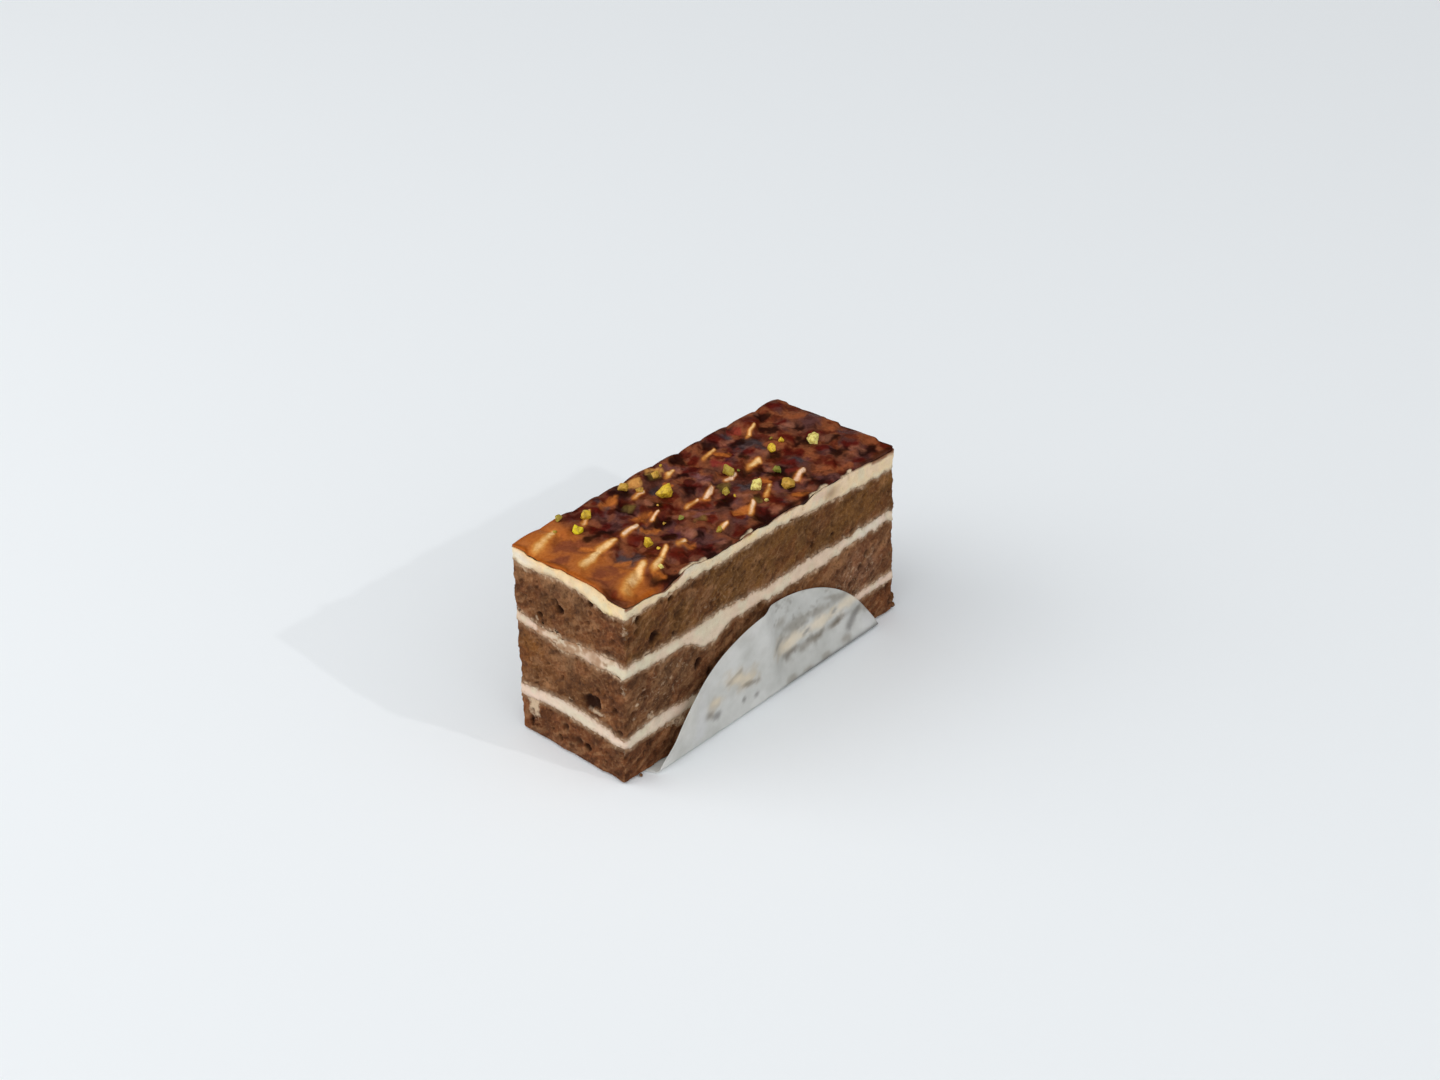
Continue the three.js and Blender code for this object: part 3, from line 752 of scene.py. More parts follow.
def crumb_shape(i, middle, size):
    """One lumpy, pitted crumb: its points and faces."""
    shape = bmesh.new()
    bmesh.ops.create_icosphere(shape, subdivisions=4, radius=size / 2)
    points, faces = finished(shape)
    ways = unit(points)
    points = points * (0.75 + 0.5 * rough(ways * size + 20 * i, size * 0.7, 401 + i, 2))[:, None]
    points -= ways * (0.1 * size * pores(points + 9 * i, size * 0.35, 0.5, 411))[:, None]
    return points + middle, faces


def make_crumbs(material):
    """Loose crumbs, all in one piece."""
    vertices, faces = joined(crumb_shape(i, *crumb) for i, crumb in enumerate(CRUMBS))
    attributes = {key: np.full(len(vertices), value) for key, value in CRUMB_LOOKS.items()}
    attributes["tint"] = np.broadcast_to(0.8 * SPONGE_TINTS["brown"], (len(vertices), 3))
    new_piece("sponge_crumbs", vertices, faces, material, "sponge_bottom", "sponge", attributes)


CREAM_TINTS = palette(
    lower=(216, 196, 176), upper=(204, 180, 154), top=(232, 206, 162), front=(228, 204, 168),
    light=(218, 196, 170), white=(226, 220, 208), green=(212, 204, 178), pink=(224, 194, 174),
    yellow=(232, 208, 144), warm=(238, 186, 114),
)
# Patches of colour on each cream, by layer: tone, spot and strength
CREAM_PATCHES = {
    1: [
        ("pink", 3.12, 12.6, 4, 1.6, 0.6), ("green", 3.55, 13, 8, 1.6, 0.6),
        ("pink", 3.92, 13.6, 3, 1.4, 0.6), ("green", 0.07, 14, 4, 1.6, 0.6), ("pink", 0.9, 12, 9, 2, 0.6),
    ],
    3: [
        ("light", 0.5, 33, 62, 20, 0.9), ("green", 0.05, 34.6, 8, 3, 0.7), ("green", 0.29, 32, 6, 4, 0.6),
        ("pink", 0.5, 32.4, 10, 2, 0.2), ("white", 0.9, 32.6, 9, 2, 0.5),
        ("green", 3.95, 34, 3.5, 2.6, 0.8), ("pink", 3.2, 34, 5, 1.6, 0.6),
    ],
    5: [
        ("front", 0.5, 51, 62, 20, 0.9), ("white", 3.08, 52, 5, 1.8, 0.8),
        ("yellow", 3.86, 50.5, 4, 2.6, 0.7), ("pink", 0.7, 52.6, 4, 1.4, 0.8),
        ("yellow", 0.43, 53.4, 3, 0.9, 0.8), ("white", 0.22, 54.4, 3, 1.4, 0.6),
    ],
}
# Brown stains that cross a cream, by layer: spot and strength
CREAM_STAINS = {
    1: [],
    3: [(3.72, 34.6, 1.6, 2.2, 0.7)],
    5: [(0.745, 51.5, 2.6, 1.8, 0.7), (3.45, 51, 7, 0.8, 0.7)],
}
# The cream that the knife has mixed with crumbs at the near end, and the one under the glaze
TORN_CREAM = 3
TOP_CREAM = 5


def cream_tint(k, place, way, z, below):
    """Broad colour of a cut cream, with faint pink and green clouds and a warm glow under the glaze."""
    cloud = rough(place, 3.4, 101 + k)
    shares = patch_shares(way, z, CREAM_PATCHES[k])
    shares.append(("pink", 0.35 * smooth(cloud, 0.52, 0.66)))
    shares.append(("green", 0.5 * smooth(1 - cloud, 0.52, 0.66)))
    if k == TOP_CREAM:
        near = smooth(way, 3.0, 3.03) * (1 - smooth(way, 3.97, 4.0))
        shares.append(("warm", 0.7 * near * np.exp(-below / 0.6)))
    colour = laid(CREAM_TINTS, CREAM_TINTS[LAYERS[k].split("_")[1]], *shares)
    return colour * blend(0.9, 1.1, rough(place, 2.2, 111 + k))[..., None]


def make_cream(k, name, material):
    rows, way, z, above, below = layer_wall(k)
    plan = outline(way, z)
    out = outward(way, z)
    place = raised(plan, z)
    dragged = 0.7 * wavy(place, (3.2, 3.2, 1.6), 91 + k, 4) - 0.6 * pores(place, 2.6, 0.2, 95 + k)
    plan = plan + out * (wall_offset("cream", plan, z) + dragged)[..., None]
    edge = np.minimum(above, below)
    if k == TOP_CREAM:
        rows += 1
        plan = np.concatenate([plan, (plan - UNDERSIDE_INSET * out)[-1:]])
        z = np.concatenate([z, np.full_like(z[-1:], z[-1].min() - UNDERSIDE_DROP)])
        way, above, below = (np.concatenate([values, values[-1:]]) for values in (way, above, below))
        edge = above
    place = raised(plan, z)
    run = np.zeros_like(z)
    stain = strongest(way, z, CREAM_STAINS[k])
    if k == TOP_CREAM:
        long = rough(flat(way * LENGTH, 0 * way), 9.0, 361)
        run = 0.9 * smooth(0.9 * smooth(long, 0.5, 0.75) * (way < 3) - below, -0.1, 0.3)
    if k == TORN_CREAM:
        near = smooth(way, 3.05, 3.15) * (1 - smooth(way, 3.85, 3.92))
        stain = np.maximum(stain, 0.75 * near * smooth(rough(place, (2.6, 2.6, 2.0), 97), 0.47, 0.62))
    attributes = {
        "stain": stain,
        "reach": CRUMB_FRINGE * edge,
        "run": run,
        "tint": cream_tint(k, place, way, z, below),
    }
    faces = wall_faces(rows, way.shape[1])
    new_piece(name + "_spread", place.reshape(-1, 3), faces, material, name, "cream", attributes)


# Browned and glazed top

CARAMEL = palette(
    gold=(176, 98, 42), tan=(166, 96, 50), brown=(122, 68, 44), rose=(126, 66, 44), umber=(92, 54, 42),
    plum=(92, 58, 56), mauve=(122, 80, 80), purple=(72, 34, 52), slate=(70, 64, 68), maroon=(88, 14, 4),
    dark=(30, 4, 0), red=(140, 44, 38), rust=(148, 82, 48), orange=(192, 110, 46), blush=(168, 108, 82),
    amber=(196, 118, 48), wheat=(220, 160, 84), olive=(128, 106, 52), pale=(250, 208, 146),
    milky=(246, 212, 184), rim=(164, 84, 18), bare=(228, 208, 174),
)
# The top was spread slanting over the slice: its marks are drawn out this way, and closer over it
SPREAD_WAY = (0.663, 0.748)
SPREAD_CLOSER = 0.53
# Uneven browning, tone by tone in the order laid on; the plum, mauve and slate marks add a painted sheen,
# and the first placed dark mark is painted shadow in a crease. For each tone: how strongly; the marks drawn
# by a seeded rule, as first and last place along, count, half width and length; and the marks that stand
# out, as place along from the near end, place across from the back, half width and length
MARKS = {
    "rose": (0.85, (0, 14, 2, 1.0, 4), [(11, 13, 1.8, 10), (6, 27, 1.6, 4)]),
    "umber": (0.85, (36, 104, 15, 1.4, 3), [(95, 13, 1.8, 6)]),
    "plum": (0.85, (20, 104, 32, 1.5, 3), [(26, 14, 1.7, 9), (34, 36, 1.3, 5)]),
    "mauve": (0.7, (20, 70, 6, 1.0, 3), []),
    "slate": (0.8, (24, 90, 10, 0.9, 3), [(78, 11, 1.6, 4), (15, 26, 1.3, 4)]),
    "purple": (0.8, (17, 90, 8, 0.8, 3), []),
    "rust": (0.85, (30, 104, 21, 0.9, 3), [(82, 35, 1.2, 4)]),
    "maroon": (0.9, (20, 104, 42, 1.0, 3), [(2, 37, 0.8, 5)]),
    # The first placed dark mark, at 18 along, is painted shadow in the crease beside a plate
    "dark": (0.9, (22, 100, 30, 1.0, 2.5), [(18, 13, 0.8, 6), (14, 39, 1.0, 5), (73, 28, 1.0, 8)]),
    "red": (0.7, (60, 100, 2, 0.6, 3), [(81, 3, 0.7, 3)]),
    "orange": (0.8, (9, 84, 14, 0.7, 3), []),
    "blush": (0.55, (26, 104, 16, 0.7, 3), []),
    "wheat": (0.8, (40, 52, 0, 1.0, 3), [(50, 2, 0.9, 3), (41, 2, 0.8, 4)]),
    "olive": (0.6, (28, 60, 5, 0.7, 2), []),
}
MARK_SEED = 61
MARK_TILT = 0.35
MARK_SIZES = (0.7, 1.3)
MARK_REACH = 1.6
MARK_SOFTNESS = 1.3
# Steps of a sequence that spreads marks evenly over the two ways
EVEN_STEPS = np.array([0.7549, 0.5698])
# Pale lips of the dabs, unbrowned cream with a painted highlight, in three rows: place across, first and
# last place along, count
LIP_ROWS = [(6, 7, 84, 6), (18, 8, 72, 8), (32, 9, 74, 7)]
LIP_LENGTHS = (2.0, 4.2)
LIP_HALVES = (0.5, 0.85)
LIP_TURNS = (0.5, 1.15)
LIP_PALENESS = (0.7, 1.0)
LIP_STRAY = 1.6
# Lips at the near end are larger, and those farther off carry a milk-white painted highlight
NEAR_LIP_SIZE = 1.9
NEAR_LIP_ENDS = (14, 26)
LIP_SEED = 67
# Places along the front edge where the glaze has broken off the cream: middle, length, half width
BARE_EDGES = [(23, 8.5, 0.5), (22.5, 3.0, 0.7), (72, 6.5, 0.5), (43, 3.5, 0.4), (83, 3.5, 0.4)]
BARE_ACROSS = WIDTH + 0.4


def burnt_share(x, y):
    """How strongly the top is browned: least at the near end, but for its front corner."""
    corner = bell((x + LENGTH / 2) / 3.4, (y + WIDTH / 2 - 3) / 7)
    return np.maximum(smooth(x - 0.16 * y, -42, -36) * blend(1.0, 0.8, smooth(x, 26, 38)), 0.9 * corner)


def spread(along, across):
    """Distances along and over the slanted way that the top was spread."""
    way = SPREAD_WAY[0] * along + SPREAD_WAY[1] * across
    over = SPREAD_WAY[1] * along - SPREAD_WAY[0] * across
    return np.stack([way, SPREAD_CLOSER * over], axis=-1)


def spread_place(x, y):
    return spread(x + LENGTH / 2, WIDTH / 2 - y)


def turned(length, turn):
    return length * np.array([np.cos(turn), np.sin(turn)])


def drawn_marks(order, rule, placed):
    """Marks of one tone, each a middle, a run and a half width: the placed ones, then those of the rule."""
    first, last, count, half, length = rule
    draws = np.random.default_rng(MARK_SEED + order)
    begin = draws.random(2)
    marks = list(placed)
    for k in range(count):
        share = (begin + k * EVEN_STEPS) % 1
        size = draws.uniform(*MARK_SIZES)
        marks.append((blend(first, last, share[0]), WIDTH * share[1], half * size, length * size))
    tilts = draws.uniform(-MARK_TILT, MARK_TILT, len(marks))
    for (along, across, half, length), tilt in zip(marks, tilts):
        yield spread(along, across), turned(length, tilt), half


def drawn_lips():
    """Lips drawn by a seeded rule, each a middle, a run, a half width, a paleness and a share of milk-white
    painted highlight.
    """
    draws = np.random.default_rng(LIP_SEED)
    for row, first, last, count in LIP_ROWS:
        for place in np.linspace(first, last, count):
            along, across = (place, row) + draws.uniform(-LIP_STRAY, LIP_STRAY, 2)
            near = 1 - smooth(along, *NEAR_LIP_ENDS)
            size = blend(1, NEAR_LIP_SIZE, near)
            turn = draws.uniform(*LIP_TURNS)
            run = turned(size * draws.uniform(*LIP_LENGTHS), turn)
            half = size * draws.uniform(*LIP_HALVES)
            yield spread(along, across), run, half, draws.uniform(*LIP_PALENESS), (1 - near) * draws.random()


def mark_away(here, middle, run):
    """Distance from a mark, and the share of the way along it."""
    reached = here - middle + run / 2
    done = np.clip(reached @ run / (run @ run), 0, 1)
    return np.linalg.norm(reached - done[..., None] * run, axis=-1), done


def mark_share(here, wander, marks):
    """Share of the given marks, with soft edges that wander."""
    share = np.zeros(here.shape[:-1])
    for middle, run, half in marks:
        away = mark_away(here, middle, run)[0] / half
        share = np.maximum(share, smooth(MARK_REACH - away + wander, 0.0, MARK_SOFTNESS))
    return share


def lip_streaks(x, y):
    """Pale lips, unbrowned cream with a painted highlight: shares of the streaks, of the glow round them and
    of milk-white highlights.
    """
    here = spread_place(*warped(x, y, 2.6, 0.35, 241))
    fibre = rough(flat(x, y), 2.0, 251)
    streak, glow, milky = (np.zeros_like(x) for _ in range(3))
    for middle, run, half, paleness, milk in drawn_lips():
        away, done = mark_away(here, middle, run)
        away = away / (half * (1.3 - 0.6 * done))
        body = paleness * blend(0.62, 1.0, done) * bell(away)
        milky = np.where(body > streak, milk, milky)
        streak = np.maximum(streak, body)
        glow = np.maximum(glow, paleness * bell(away / 2))
    torn = np.clip(1.15 * streak * (0.55 + 0.85 * fibre), 0, 1)
    return torn, glow, milky * torn


def glaze_colour(x, y, edge):
    """Colour of the top: browned plates with darker and lighter marks and painted sheen, dark edges, and
    pale lips of unbrowned cream with a painted highlight.
    """
    place = flat(x, y)
    broad = rough(place, 4.5, 201)
    patch = rough(place, 2.6, 205)
    fine = rough(place, 1.4, 209)
    burnt = burnt_share(x, y)
    colour = laid(
        CARAMEL,
        CARAMEL["gold"],
        ("tan", np.clip(0.1 + 0.6 * smooth(broad, 0.4, 0.65) + burnt, 0, 1)),
        ("brown", burnt * 0.95),
        # Browned plates with a painted sheen
        ("plum", burnt * smooth(broad, 0.48, 0.64) * 0.4),
        ("maroon", burnt * smooth(patch, 0.46, 0.62) * 0.75),
        ("rust", burnt * smooth(1 - patch, 0.58, 0.76) * 0.3),
    )
    here = spread_place(*warped(x, y, 3.0, 0.4, 271))
    wander = 2.0 * wavy(place, 1.8, 281)
    for order, (tone, (strength, rule, placed)) in enumerate(MARKS.items()):
        share = mark_share(here, wander, drawn_marks(order, rule, placed))
        colour = laid(CARAMEL, colour, (tone, strength * share))
    colour = colour * blend(1.0, 0.7 + 0.6 * fine, blend(0.35, 1, burnt))[..., None]
    torn, glow, milky = lip_streaks(x, y)
    rim = 1 - smooth(edge, 0.3, 1.6)
    bare = [(spread(along, BARE_ACROSS), spread(length, 0), half) for along, length, half in BARE_EDGES]
    return laid(
        CARAMEL,
        colour,
        ("dark", burnt * smooth(fine + 0.8 * (patch - 0.5), 0.54, 0.7) * 0.5),
        ("amber", blend(0.45, 0.1, burnt) * glow),
        ("rim", 0.8 * rim * (1 - burnt)),
        ("dark", rim * burnt * smooth(broad, 0.35, 0.5) * blend(0.85, 0.25, smooth(y, 8, 16))),
        ("bare", 0.9 * mark_share(here, wander, bare)),
        # Pale lips: unbrowned cream brightened by a painted highlight, milk-white on the farther ones
        ("amber", 0.75 * smooth(torn, 0.04, 0.4)),
        ("wheat", 0.85 * smooth(torn, 0.22, 0.66)),
        ("pale", 0.95 * smooth(torn, 0.46, 0.94)),
        ("milky", 0.85 * smooth(milky, 0.3, 0.6)),
    )


def glaze_top(x, y):
    return surface_height(LAST, x, y) + GLAZE_THICKNESS + dabs(x, y)[0]


def glaze_relief(x, y):
    """Finer relief of the top: soft swells, creases between the dabs, pale ridges and small ripples."""
    place = flat(x, y)
    crease = -0.3 * smooth(np.abs(dabs(*warped(x, y, 5.0, 2.4, 231))[1]), 0.6, 0.95)
    swell = wavy(place, 5.5, 211, 2) + 0.7 * wavy(place, 2.4, 215)
    return (swell + crease) * blend(0.35, 1, burnt_share(x, y)) + 0.3 * lip_streaks(x, y)[1]


def rounded_grid(u, v):
    """Plan points of a grid over the top, with its corners pulled in to the rounded outline."""
    corners = [place[0] for place in corner_places(np.array([LEVELS[LAST]]))]
    plan = blend(blend(corners[0], corners[1], u), blend(corners[3], corners[2], u), v)
    for k, corner in enumerate(corners):
        before = corners[(k + 3) % 4] - corner
        after = corners[(k + 1) % 4] - corner
        centre = corner + CORNER_RADIUS * (unit(before) + unit(after))
        away = plan - centre
        distance = np.linalg.norm(away, axis=-1)
        beyond = (away @ before < 0) & (away @ after < 0) & (distance > CORNER_RADIUS)
        pull = CORNER_RADIUS / np.where(beyond, distance, CORNER_RADIUS)
        plan = centre + away * pull[..., None]
    return plan[..., 0], plan[..., 1]


def make_glaze(material):
    """Dabbed top as a fine grid clipped to the rounded outline, with a thin cut edge below it."""
    columns = int(LENGTH / GLAZE_STEP) + 1
    rows = int(WIDTH / GLAZE_STEP) + 1
    u, v = np.meshgrid(np.linspace(0, 1, columns), np.linspace(0, 1, rows))
    x, y = rounded_grid(u[..., None], v[..., None])
    edge = np.minimum(np.minimum(u, 1 - u) * LENGTH, np.minimum(v, 1 - v) * WIDTH)
    z = glaze_top(x, y) + glaze_relief(x, y) * smooth(edge, -0.5, 1.5) - 0.25 * np.exp(-edge / 0.5)
    cut = surface_height(LAST, x, y) + glaze_foot(x, y) + LAYER_GAP / 2
    top = np.stack([x, y, np.maximum(z, cut + 0.15 - 0.4 * edge)], axis=-1).reshape(-1, 3)
    quads, rim = grid_faces(rows, columns)
    foot = top[rim].copy()
    foot[:, 2] = cut.reshape(-1)[rim]
    under = foot * (1 - 2 * UNDERSIDE_INSET / LENGTH, 1 - 2 * UNDERSIDE_INSET / WIDTH, 1)
    under[:, 2] = foot[:, 2].min()
    low = len(top) + np.arange(len(rim))
    lowest = low + len(rim)
    faces = quads.tolist() + band(rim, low) + band(low, lowest) + [lowest[::-1].tolist()]
    colours = glaze_colour(x, y, edge).reshape(-1, 3)
    attributes = {"tint": np.concatenate([colours, colours[rim], colours[rim]])}
    new_piece("glaze_top", np.concatenate([top, foot, under]), faces, material, "glaze", "glaze", attributes)


NIB_TONES = palette(
    lemon=(222, 206, 26), gold=(218, 182, 48), dull=(196, 152, 60), olive=(164, 144, 52),
    green=(124, 136, 54), pale=(228, 214, 124),
)
# Tone of each nib in turn, and after them of the bits
NIB_TONE_ORDER = """
    olive lemon gold dull dull gold green gold pale olive
    olive olive pale gold green dull pale gold dull
""".split()
NIB_CORNERS = 12
NIB_BITS = 14
NIB_BIT_SIZE = (0.7, 1.5)
NIB_BIT_AWAY = (2.5, 6.5)
NIB_BIT_MARGIN = 1.5


def nib_shape(size, key):
    """One chopped nut with flat broken faces, standing on z = 0: its points and faces."""
    shape = bmesh.new()
    stretch = (0.8 + 0.5 * draw(key, 1), 0.75 + 0.4 * draw(key, 2), 0.7 + 0.3 * draw(key, 3))
    turn = Euler((math.pi * draw(key, 4), 0, 2 * math.pi * draw(key, 5))).to_matrix()
    for n in range(NIB_CORNERS):
        up = 1 - 2 * (n + 0.5) / NIB_CORNERS
        angle = math.pi * (3 - math.sqrt(5)) * n + 1.5 * draw(key + 3, n)
        across = math.sqrt(1 - up * up)
        reach = size / 2 * (0.7 + 0.45 * draw(key + 5, n))
        corner = Vector((across * math.cos(angle), across * math.sin(angle), up)) * reach
        shape.verts.new(turn @ Vector([c * s for c, s in zip(corner, stretch)]))
    hull = bmesh.ops.convex_hull(shape, input=shape.verts[:])
    bmesh.ops.delete(shape, geom=hull["geom_interior"], context="VERTS")
    bmesh.ops.bevel(shape, geom=shape.edges[:], offset=size * 0.05, segments=2, affect="EDGES", profile=0.6)
    bmesh.ops.triangulate(shape, faces=shape.faces[:])
    bmesh.ops.subdivide_edges(shape, edges=shape.edges[:], cuts=1, use_grid_fill=True)
    points, faces = finished(shape)
    shifts = [grain(points, size / 4, key * 5 + axis) for axis in range(3)]
    points += 0.1 * size * (np.stack(shifts, axis=-1) - 0.5)
    points[:, 2] -= points[:, 2].min()
    return points, faces


def make_nibs(material):
    """Chopped nuts, and smaller bits of them scattered about, all in one piece."""
    scattered = list(NIBS)
    for i in range(NIB_BITS):
        x, y, _ = NIBS[i % len(NIBS)]
        angle = 2 * math.pi * draw(i, 61)
        away = blend(*NIB_BIT_AWAY, draw(i, 62))
        bit = (x + away * math.cos(angle), y + away * math.sin(angle), blend(*NIB_BIT_SIZE, draw(i, 63)))
        if abs(bit[1]) < WIDTH / 2 - NIB_BIT_MARGIN:
            scattered.append(bit)
    shapes, tints = [], []
    for i, (x, y, size) in enumerate(scattered):
        points, faces = nib_shape(size, 100 + i)
        base = glaze_top(np.array([x]), np.array([y]))[0]
        shapes.append((points + (x, y, base - NIB_SINK * min(1, size / 3)), faces))
        tints.extend([NIB_TONES[NIB_TONE_ORDER[i % len(NIB_TONE_ORDER)]]] * len(points))
    new_piece("pistachio_nibs", *joined(shapes), material, "glaze", "pistachio", {"tint": tints})


# Film liner

FILM_TINTS = palette(
    white=(246, 246, 243), bright=(250, 250, 250), dusk=(204, 198, 188), cream=(246, 232, 208),
    tan=(214, 200, 178), brown=(162, 150, 134), grey=(172, 168, 164), fold=(140, 138, 136),
)
# Smears on the inside of the film: tone, x, height, half sizes along x and across, and slant. Near the far
# end, the grey mark at x 34.6 is painted shadow in a crease, and the bright one at x 40.5 is painted light
# on the facet beyond it
FILM_SMEARS = [
    ("tan", -12.8, 12.6, 7, 3.6, -0.3), ("brown", -15.6, 14.6, 3, 0.8, 0.3),
    ("cream", -12.4, 12.4, 4.4, 1.9, -0.35), ("brown", -9, 9.4, 3.4, 0.9, -0.2),
    ("tan", -23.6, 10.2, 4, 2.4, 0), ("cream", -23.4, 10.8, 2.2, 1.2, 0),
    ("brown", -26.4, 8, 2.4, 1.4, -0.4), ("grey", -22.4, 6.2, 1.6, 1.2, 0), ("grey", -12, 5.4, 0.8, 0.8, 0),
    ("grey", -7, 4.6, 1.2, 0.8, 0), ("tan", 5, 13.4, 4.5, 3.2, 0), ("dusk", 16, 8.4, 5, 1.5, 0),
    ("dusk", 27, 9.3, 5, 1.4, 0.1), ("dusk", 38, 8.8, 4, 1.3, 0), ("dusk", 10, 17.2, 6, 2.2, 0),
    ("dusk", 20, 16.8, 5, 1.8, -0.1), ("dusk", 29, 17, 5, 1.8, 0), ("grey", 4, 14.6, 2.4, 1, 0.4),
    ("dusk", 4, 20.6, 2.4, 1.8, 0), ("brown", 9.5, 9.2, 4, 1.3, 0.1), ("brown", 19, 8.6, 2.8, 1.2, 0),
    ("brown", 28, 8.8, 2.2, 1, 0), ("dusk", 26, 18.4, 4, 1, -0.3), ("cream", 9.5, 12.5, 6, 2.3, 0.08),
    ("cream", 20.5, 12.8, 7, 2.3, 0), ("cream", 32, 13.4, 9, 2.2, 0.03),
    ("grey", 15.5, 12.6, 1.6, 0.8, 0.3), ("grey", 27, 13.4, 1.2, 0.8, 0.3), ("bright", -29, 8, 3, 9, 1.4),
    ("grey", 34.6, 7, 4, 2, 0.85), ("bright", 40.5, 4.6, 3, 2.4, -0.3), ("dusk", 8, 1.8, 2.4, 1.3, 0),
    ("dusk", 14.5, 1.6, 1.8, 1, 0), ("dusk", 22, 1.8, 2.4, 1.2, 0), ("dusk", 31, 2.8, 2.6, 1.5, 0),
]
THICK_SMEARS = ("cream", "tan")


def side_distance(side, x, z):
    """Distance of a long side's cut face from the middle of the slice."""
    up = np.clip(z / HEIGHT, 0, 1)
    shifts = {at: blend(foot[1], crown[1], up) for at, foot, crown in CORNERS}
    shift = blend(shifts[-1, side], shifts[1, side], np.clip(x / LENGTH + 0.5, 0, 1))
    return WIDTH / 2 + side * shift + WALL_ROUGHNESS["sponge"] + WALL_STANDS_PROUD["cream"]


def flap_gap(x, z):
    """Gap between the film and the slice: on the near end's side of a slanted crease it stays loose."""
    crease = LINER_CREASE - LINER_CREASE_SLANT * z
    loose = 1 - smooth(x - crease, -LINER_CREASE_HALF, LINER_CREASE_HALF)
    flare = smooth(-x, 20, LINER_RADIUS - 5)
    return LINER_CLEARANCE + LINER_LOOSE_GAP * loose + LINER_FLARE * flare


def liner_place(x, v):
    """Middle surface of the film at x and at the distance v from the disc's diameter along X."""
    side = np.where(v < 0, -1.0, 1.0)
    reach = np.abs(v)
    bend_start = LINER_FOLD - LINER_BEND
    middle = LINER_SOLID_THICKNESS / 2
    angle = np.clip((reach - bend_start) / LINER_BEND, 0, math.pi / 2)
    past = np.maximum(0, reach - bend_start - math.pi / 2 * LINER_BEND)
    height = LINER_BEND * (1 - np.cos(angle)) + past
    inside = bend_start + LINER_BEND * np.sin(angle) - LINER_FOLD
    wall = np.where(side < 0, side_distance(-1, x, height), side_distance(1, x, height))
    leaning = smooth(height, 0, LINER_LEAN_HEIGHT)
    flap = blend(LINER_FOLD, wall + flap_gap(x, height), leaning) + inside
    y = np.where(reach <= bend_start, v, side * flap)
    z = np.where(reach <= bend_start, middle, middle + height)
    return np.stack(np.broadcast_arrays(x, y, z), axis=-1)


def film_marks(here):
    """Colour of the film with painted shadow along the bend at its foot, how much of it is smeared, and
    where it clings and is clear.
    """
    x, z = here[..., 0], here[..., 2]
    flap = smooth(z, 1.5, 5.0)
    clinging = (1 - smooth(flap_gap(x, z), 0.4, 1.6)) * flap
    wander = 1.3 * wavy(here, 2.0, 311, 4)
    front = here[..., 1] < 0
    shares = []
    residue = np.zeros_like(x)
    for tone, at_x, at_z, half_x, half_z, slant in FILM_SMEARS:
        apart = x - at_x
        away = np.hypot(apart / half_x, (z - at_z - slant * apart) / half_z)
        share = 0.8 * smooth(1.45 - away + wander, 0.0, 1.2) * front
        shares.append((tone, share))
        if tone in THICK_SMEARS:
            residue = np.maximum(residue, share)
    specks = smooth(rough(here, 2.4, 321), 0.5, 0.8) * smooth(z, 4, 9) * (0.15 + 0.85 * clinging)
    # Painted shadow along the bend at the film's foot, wider towards the far end
    fold = smooth(x, -14, 16) * bell((z - 0.7) / blend(0.5, 1.0, smooth(x, 0, 40)))
    shares += [("brown", 0.4 * specks * (1 - residue)), ("fold", 0.8 * fold)]
    clear = clinging * (0.1 + 0.15 * specks) * (1 - residue)
    return {"tint": laid(FILM_TINTS, FILM_TINTS["white"], *shares), "residue": residue, "clear": clear}


def make_liner(material):
    """Film as two skins with an edge between them, with finer rows of points along its bends."""
    angles = np.linspace(-LINER_SPAN, LINER_SPAN, LINER_STEPS + 1)
    fine = np.linspace(LINER_FOLD - LINER_BEND, LINER_FOLD + LINER_BEND, LINER_BEND_ROWS)
    v = np.unique(np.concatenate([LINER_RADIUS * np.sin(angles), fine, -fine]))[:, None]
    x = np.sqrt(LINER_RADIUS**2 - v**2) * np.linspace(-1, 1, LINER_STEPS + 1)
    step = 0.02
    here = liner_place(x, v)
    ahead = liner_place(x + step, v) - here
    normal = unit(np.cross(ahead, liner_place(x, v + step) - liner_place(x, v - step)))
    crinkle = 0.25 * wavy(here, 9.0, 301, 2) * smooth(np.abs(v), LINER_FOLD + 2, LINER_FOLD + 8)
    here = here + normal * crinkle[..., None]
    count = x.size
    vertices = np.concatenate([(here + s * normal * LINER_FILM / 2).reshape(-1, 3) for s in (1, -1)])
    quads, rim = grid_faces(*x.shape)
    faces = quads.tolist() + (quads[:, ::-1] + count).tolist() + band(rim, rim + count)
    attributes = {key: np.concatenate([values, values]) for key, values in film_marks(here).items()}
    new_piece("liner_film", vertices, faces, material, "liner", "liner", attributes)


# Stage


def make_floor():
    mesh = bpy.data.meshes.new("floor")
    corners = [(x * FLOOR_HALF, y * FLOOR_HALF, -FLOOR_DROP) for (x, y), *_ in CORNERS]
    mesh.from_pydata(corners, [], [(0, 1, 2, 3)])
    floor = add_object("floor", mesh)
    mesh.materials.append(floor_material())


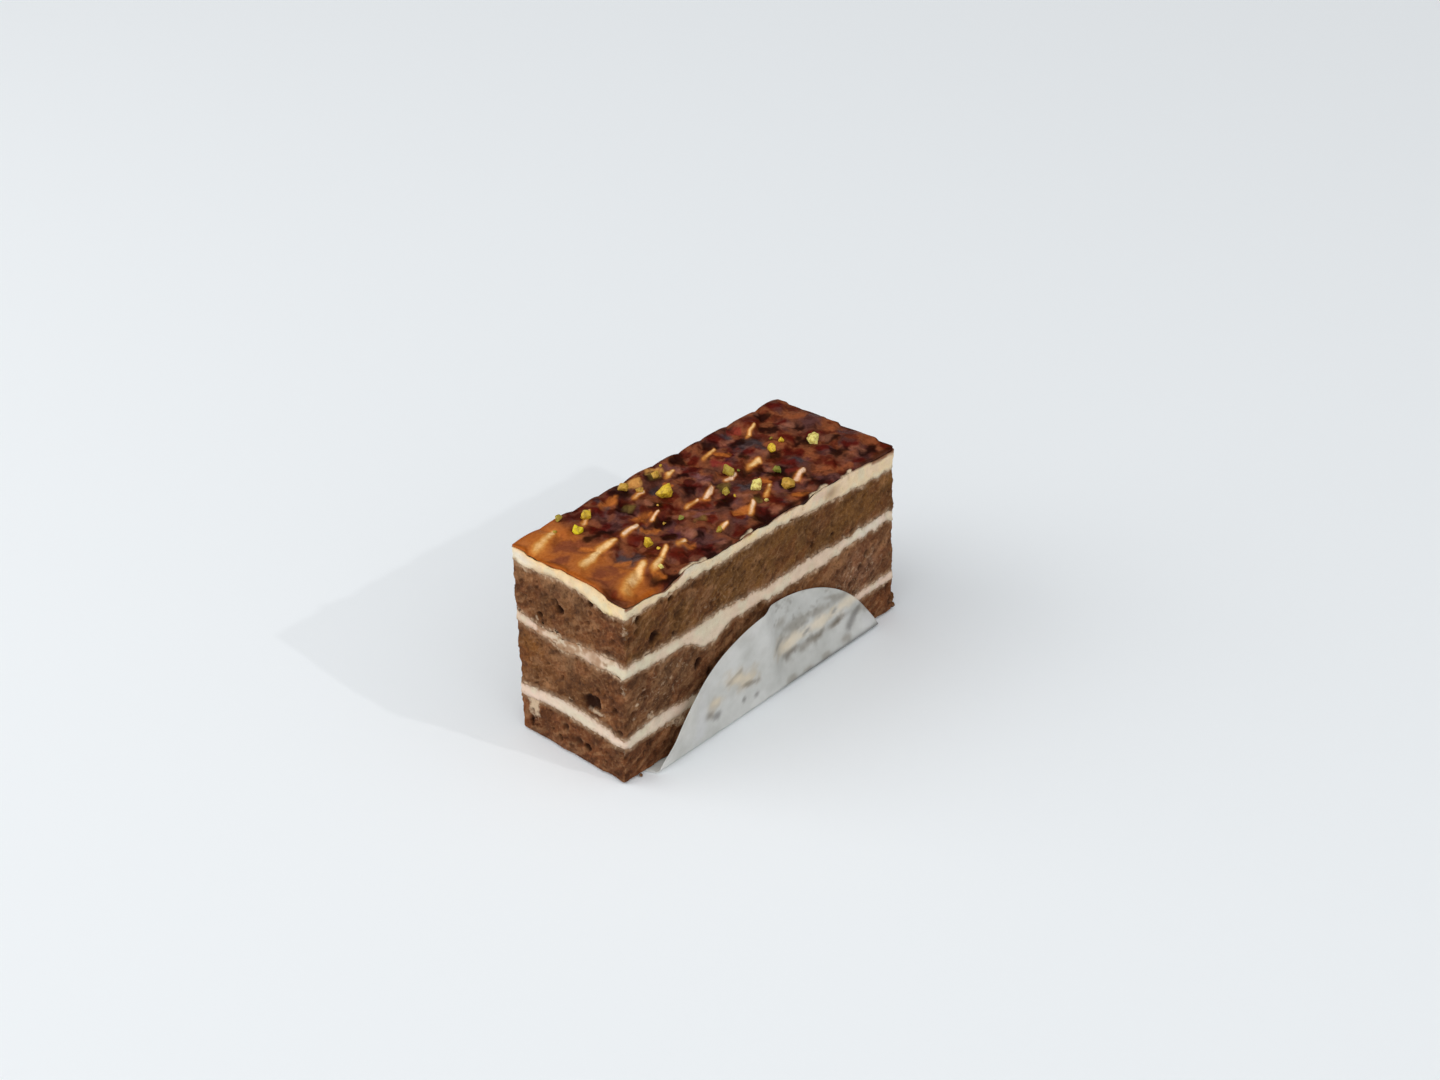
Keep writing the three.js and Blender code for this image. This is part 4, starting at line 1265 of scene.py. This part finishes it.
def aim(thing, way):
    thing.rotation_euler = way.to_track_quat("-Z", "Y").to_euler()


def make_camera():
    data = bpy.data.cameras.new("camera")
    data.lens = CAMERA_LENS
    data.sensor_width = CAMERA_SENSOR
    data.clip_start = CAMERA_CLIP
    camera = add_object("camera", data, CAMERA_PLACE)
    aim(camera, Vector(CAMERA_FORWARD))
    bpy.context.scene.camera = camera


def make_sky():
    """Soft studio surround, brightest up on the left of the view and dimmest low on its right."""
    world = bpy.data.worlds.new("studio")
    nodes = Nodes(world)
    way = nodes.add("ShaderNodeTexCoord", {}).outputs["Generated"]
    bright = Vector(SKY_BRIGHT_WAY).normalized()
    facing = nodes.add("ShaderNodeVectorMath", {0: way, 1: bright}, operation="DOT_PRODUCT").outputs["Value"]
    strength = nodes.range(facing, SKY_DIM_FACING, SKY_BRIGHT_FACING, SKY_DIM, SKY_BRIGHT)
    nodes.set(nodes.tree.nodes["Background"], {"Strength": strength, "Color": SKY_COLOUR})
    bpy.context.scene.world = world


def add_light(name, kind, place, **settings):
    data = bpy.data.lights.new(name, kind)
    for key, value in settings.items():
        setattr(data, key, value)
    return add_object(name, data, place)


def make_key():
    """Small lamp over the front that casts the slice's faint, clear-edged shadow."""
    key = add_light("key", "POINT", KEY_PLACE, shadow_soft_size=KEY_RADIUS, energy=KEY_POWER)
    nodes = Nodes(key.data)
    even = nodes.add("ShaderNodeLightFalloff", {"Strength": 1.0}).outputs["Constant"]
    nodes.set(nodes.tree.nodes["Emission"], {"Strength": even})


def make_window():
    """Large soft light on the left of the view."""
    window = add_light("window", "AREA", WINDOW_PLACE, shape="SQUARE", size=WINDOW_SIZE, energy=WINDOW_POWER)
    aim(window, -window.location)


make_camera()
make_floor()
make_sky()
make_key()
make_window()
sponge = sponge_material()
cream = cream_material()
for k, name in enumerate(LAYERS):
    if name.startswith("sponge"):
        make_sponge(k, name, sponge)
    else:
        make_cream(k, name, cream)
make_crumbs(sponge)
make_glaze(glaze_material())
make_nibs(pistachio_material())
make_liner(film_material())
bpy.context.scene.view_settings.view_transform = "Standard"
